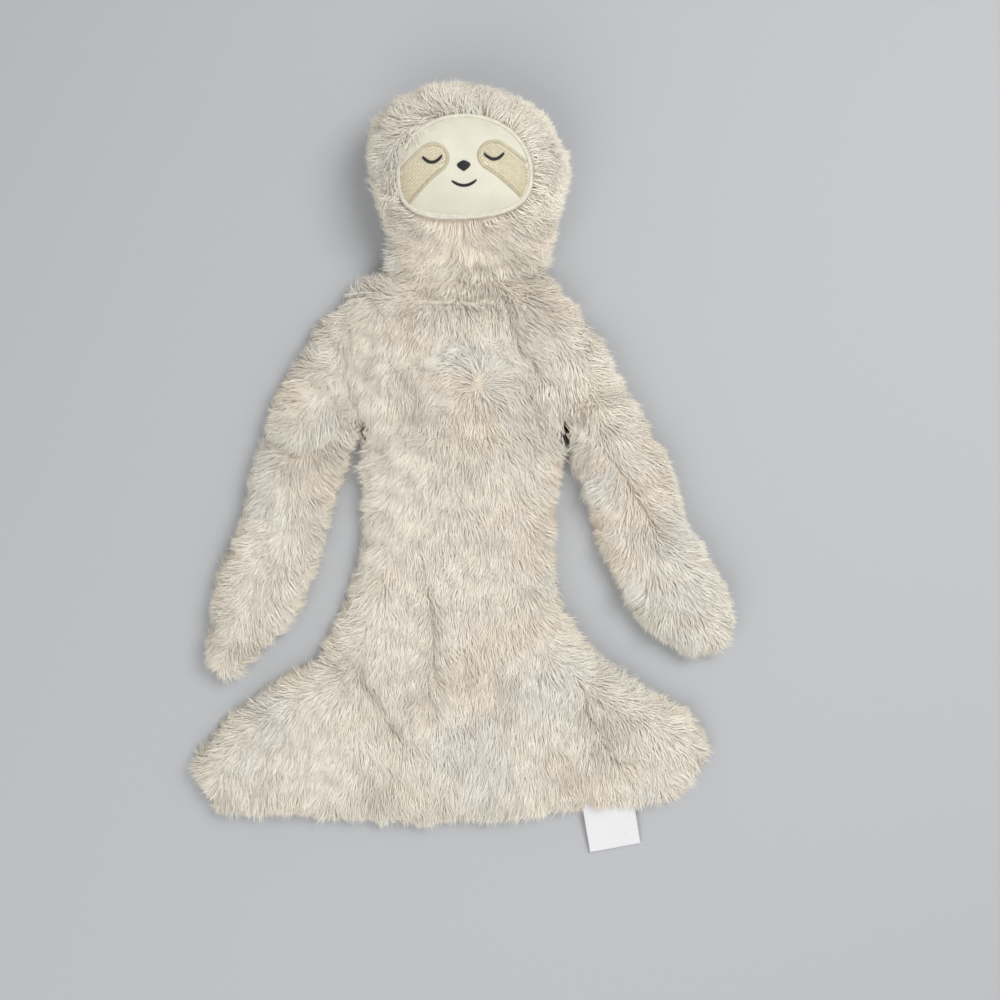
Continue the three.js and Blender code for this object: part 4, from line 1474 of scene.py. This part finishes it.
class OBJECT_OT_plush_label(bpy.types.Operator):
    """Folds the bare satin tab and sews it into the hem"""

    bl_idname = "object.plush_label"
    bl_label = "Label tab"

    def execute(self, context):
        label = context.scene.plush_label
        joint = next(j for j in frame["joints"] if j["child"] == "label")
        root = np.array(joint["pos_m"])
        wide = unit(np.array(joint["axis"], float))
        places, _ = surface(["label_tab"])
        away = places.mean(0) - root
        away = unit(away - (away @ wide) * wide)
        up = np.cross(wide, away)
        up = up if up[2] > 0 else -up
        half_gap = label.gap / 2
        radius = half_gap + label.tape / 2
        far = label.length - 0.7 * MM - radius - label.tape / 2
        inside = 2.2 * MM
        leaf = np.linspace(-inside, far, 34)
        fold = np.linspace(-math.pi / 2, math.pi / 2, 9)[1:-1]
        # The tape's middle line: the lower leaf, the fold and the upper leaf
        line = [(s, -radius) for s in leaf]
        line += [(far + radius * math.cos(t), radius * math.sin(t)) for t in fold]
        line += [(s, radius) for s in leaf[::-1]]
        line = np.array(line)
        ahead = unit(np.gradient(line, axis=0))
        side = np.stack((-ahead[:, 1], ahead[:, 0]), axis=1)
        columns = 36
        # Both faces of the tape, with a thicker selvedge, a slight curl and waves
        points, tape = [], []
        for layer in (-0.5, 0.5):
            for i, (s, h) in enumerate(line):
                for j in range(columns + 1):
                    w = (j / columns - 0.5) * label.width
                    edge = abs(2 * j / columns - 1)
                    thick = label.tape * (1 + 0.5 * (edge > 0.93))
                    a = s + layer * thick * side[i, 0]
                    b = h + layer * thick * side[i, 1]
                    curl = 0.5 * MM * (s / far) ** 2 * math.sin(2.6 * w / label.width + 0.6)
                    wave = 0.18 * MM * noise.noise(Vector((w, s, h)) / (9 * MM))
                    points.append(root + away * a + up * (b + max(curl, 0) + wave) + wide * w)
                    tape.append((w, i * (leaf[1] - leaf[0]), 0))
        # Squares between neighbouring corners, and narrow ones that close the edges
        rows, row = len(line), columns + 1
        second = rows * row
        faces = []
        for i in range(rows - 1):
            for j in range(columns):
                a = i * row + j
                faces.append((a, a + row, a + row + 1, a + 1))
                b = a + second
                faces.append((b, b + 1, b + row + 1, b + row))
            for j in (0, columns):
                a = i * row + j
                faces.append((a, a + second, a + second + row, a + row))
        for i in (0, rows - 1):
            for j in range(columns):
                a = i * row + j
                faces.append((a, a + 1, a + 1 + second, a + second))
        mesh = new_mesh("label_satin", points, faces)
        ground = mesh.attributes.new("tape", "FLOAT_VECTOR", "POINT")
        ground.data.foreach_set("vector", np.array(tape, np.float32).ravel())
        work = bmesh.new()
        work.from_mesh(mesh)
        bmesh.ops.recalc_face_normals(work, faces=work.faces)
        work.to_mesh(mesh)
        work.free()
        piece = placed("label_satin", mesh, satin_finish())
        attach(piece, "label")
        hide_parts("label_tab")
        return {"FINISHED"}


# The stage


def lamp(name, place, target, size, power):
    """A square soft lamp that faces the target."""
    data = bpy.data.lights.new(name, "AREA")
    data.size = size
    data.energy = power
    light = bpy.data.objects.new(name, data)
    light.location = place
    light.rotation_mode = "QUATERNION"
    light.rotation_quaternion = (Vector(target) - Vector(place)).to_track_quat("-Z", "Y")
    bpy.context.scene.collection.objects.link(light)


class OBJECT_OT_plush_stage(bpy.types.Operator):
    """Sets the floor, the lamps and the camera"""

    bl_idname = "object.plush_stage"
    bl_label = "Stage"

    def execute(self, context):
        stage = context.scene.plush_stage
        scene = context.scene
        reach = 2.5
        corners = [(-reach, -reach, 0), (reach, -reach, 0), (reach, reach, 0), (-reach, reach, 0)]
        material, tree, shader = new_material("floor", 0.9)
        place = tree.nodes.new("ShaderNodeTexCoord").outputs["Object"]
        grain = noise_node(tree, place, 500.0, 2.0)
        shade = tuple(0.97 * c for c in stage.floor_colour)
        tree.links.new(mixed(tree, grain, shade, tuple(stage.floor_colour)), shader.inputs["Base Color"])
        floor = placed("floor", new_mesh("floor", corners, [(0, 1, 2, 3)]), material, smooth=False)
        middle = (0, -0.01, 0.02)
        lamp("key", (0.52, 0.32, 1.05), middle, 0.6, stage.key_power)
        lamp("fill", (-0.35, -0.75, 0.95), middle, 1.0, stage.fill_power)
        world = bpy.data.worlds.new("studio")
        world.use_nodes = True
        world.node_tree.nodes["Background"].inputs["Color"].default_value = (1, 1, 1, 1)
        world.node_tree.nodes["Background"].inputs["Strength"].default_value = stage.sky
        scene.world = world
        data = bpy.data.cameras.new("camera")
        data.lens = stage.lens
        camera = bpy.data.objects.new("camera", data)
        camera.location = stage.camera_place
        scene.collection.objects.link(camera)
        scene.camera = camera
        scene.view_settings.view_transform = "Standard"
        return {"FINISHED"}


class VIEW3D_PT_plush(bpy.types.Panel):
    """Lists the steps that dress the toy"""

    bl_idname = "VIEW3D_PT_plush"
    bl_label = "Sloth comfort blanket"
    bl_space_type = "VIEW_3D"
    bl_region_type = "UI"
    bl_category = "Plush"

    def draw(self, context):
        for step in STEPS:
            self.layout.operator(step.bl_idname)


GROUPS = {
    "plush_cover": PlushCover,
    "plush_pile": PlushPile,
    "plush_face": PlushFace,
    "plush_label": PlushLabel,
    "plush_stage": PlushStage,
}
STEPS = (
    OBJECT_OT_plush_stage,
    OBJECT_OT_plush_covers,
    OBJECT_OT_plush_wadding,
    OBJECT_OT_plush_pile,
    OBJECT_OT_plush_face,
    OBJECT_OT_plush_eye_patches,
    OBJECT_OT_plush_dark_stitches,
    OBJECT_OT_plush_label,
)


def register():
    """Adds the settings, steps and panel."""
    for cls in (*GROUPS.values(), *STEPS, VIEW3D_PT_plush):
        bpy.utils.register_class(cls)
    for name, group in GROUPS.items():
        setattr(bpy.types.Scene, name, bpy.props.PointerProperty(type=group))


def unregister():
    """Takes them out again."""
    for name in GROUPS:
        delattr(bpy.types.Scene, name)
    for cls in (VIEW3D_PT_plush, *reversed(STEPS), *GROUPS.values()):
        bpy.utils.unregister_class(cls)


def main():
    """Makes every piece in order."""
    register()
    bpy.ops.object.plush_stage()
    bpy.ops.object.plush_covers()
    bpy.ops.object.plush_wadding()
    bpy.ops.object.plush_pile()
    bpy.ops.object.plush_face()
    bpy.ops.object.plush_eye_patches()
    bpy.ops.object.plush_dark_stitches()
    bpy.ops.object.plush_label()


if __name__ == "__main__":
    main()
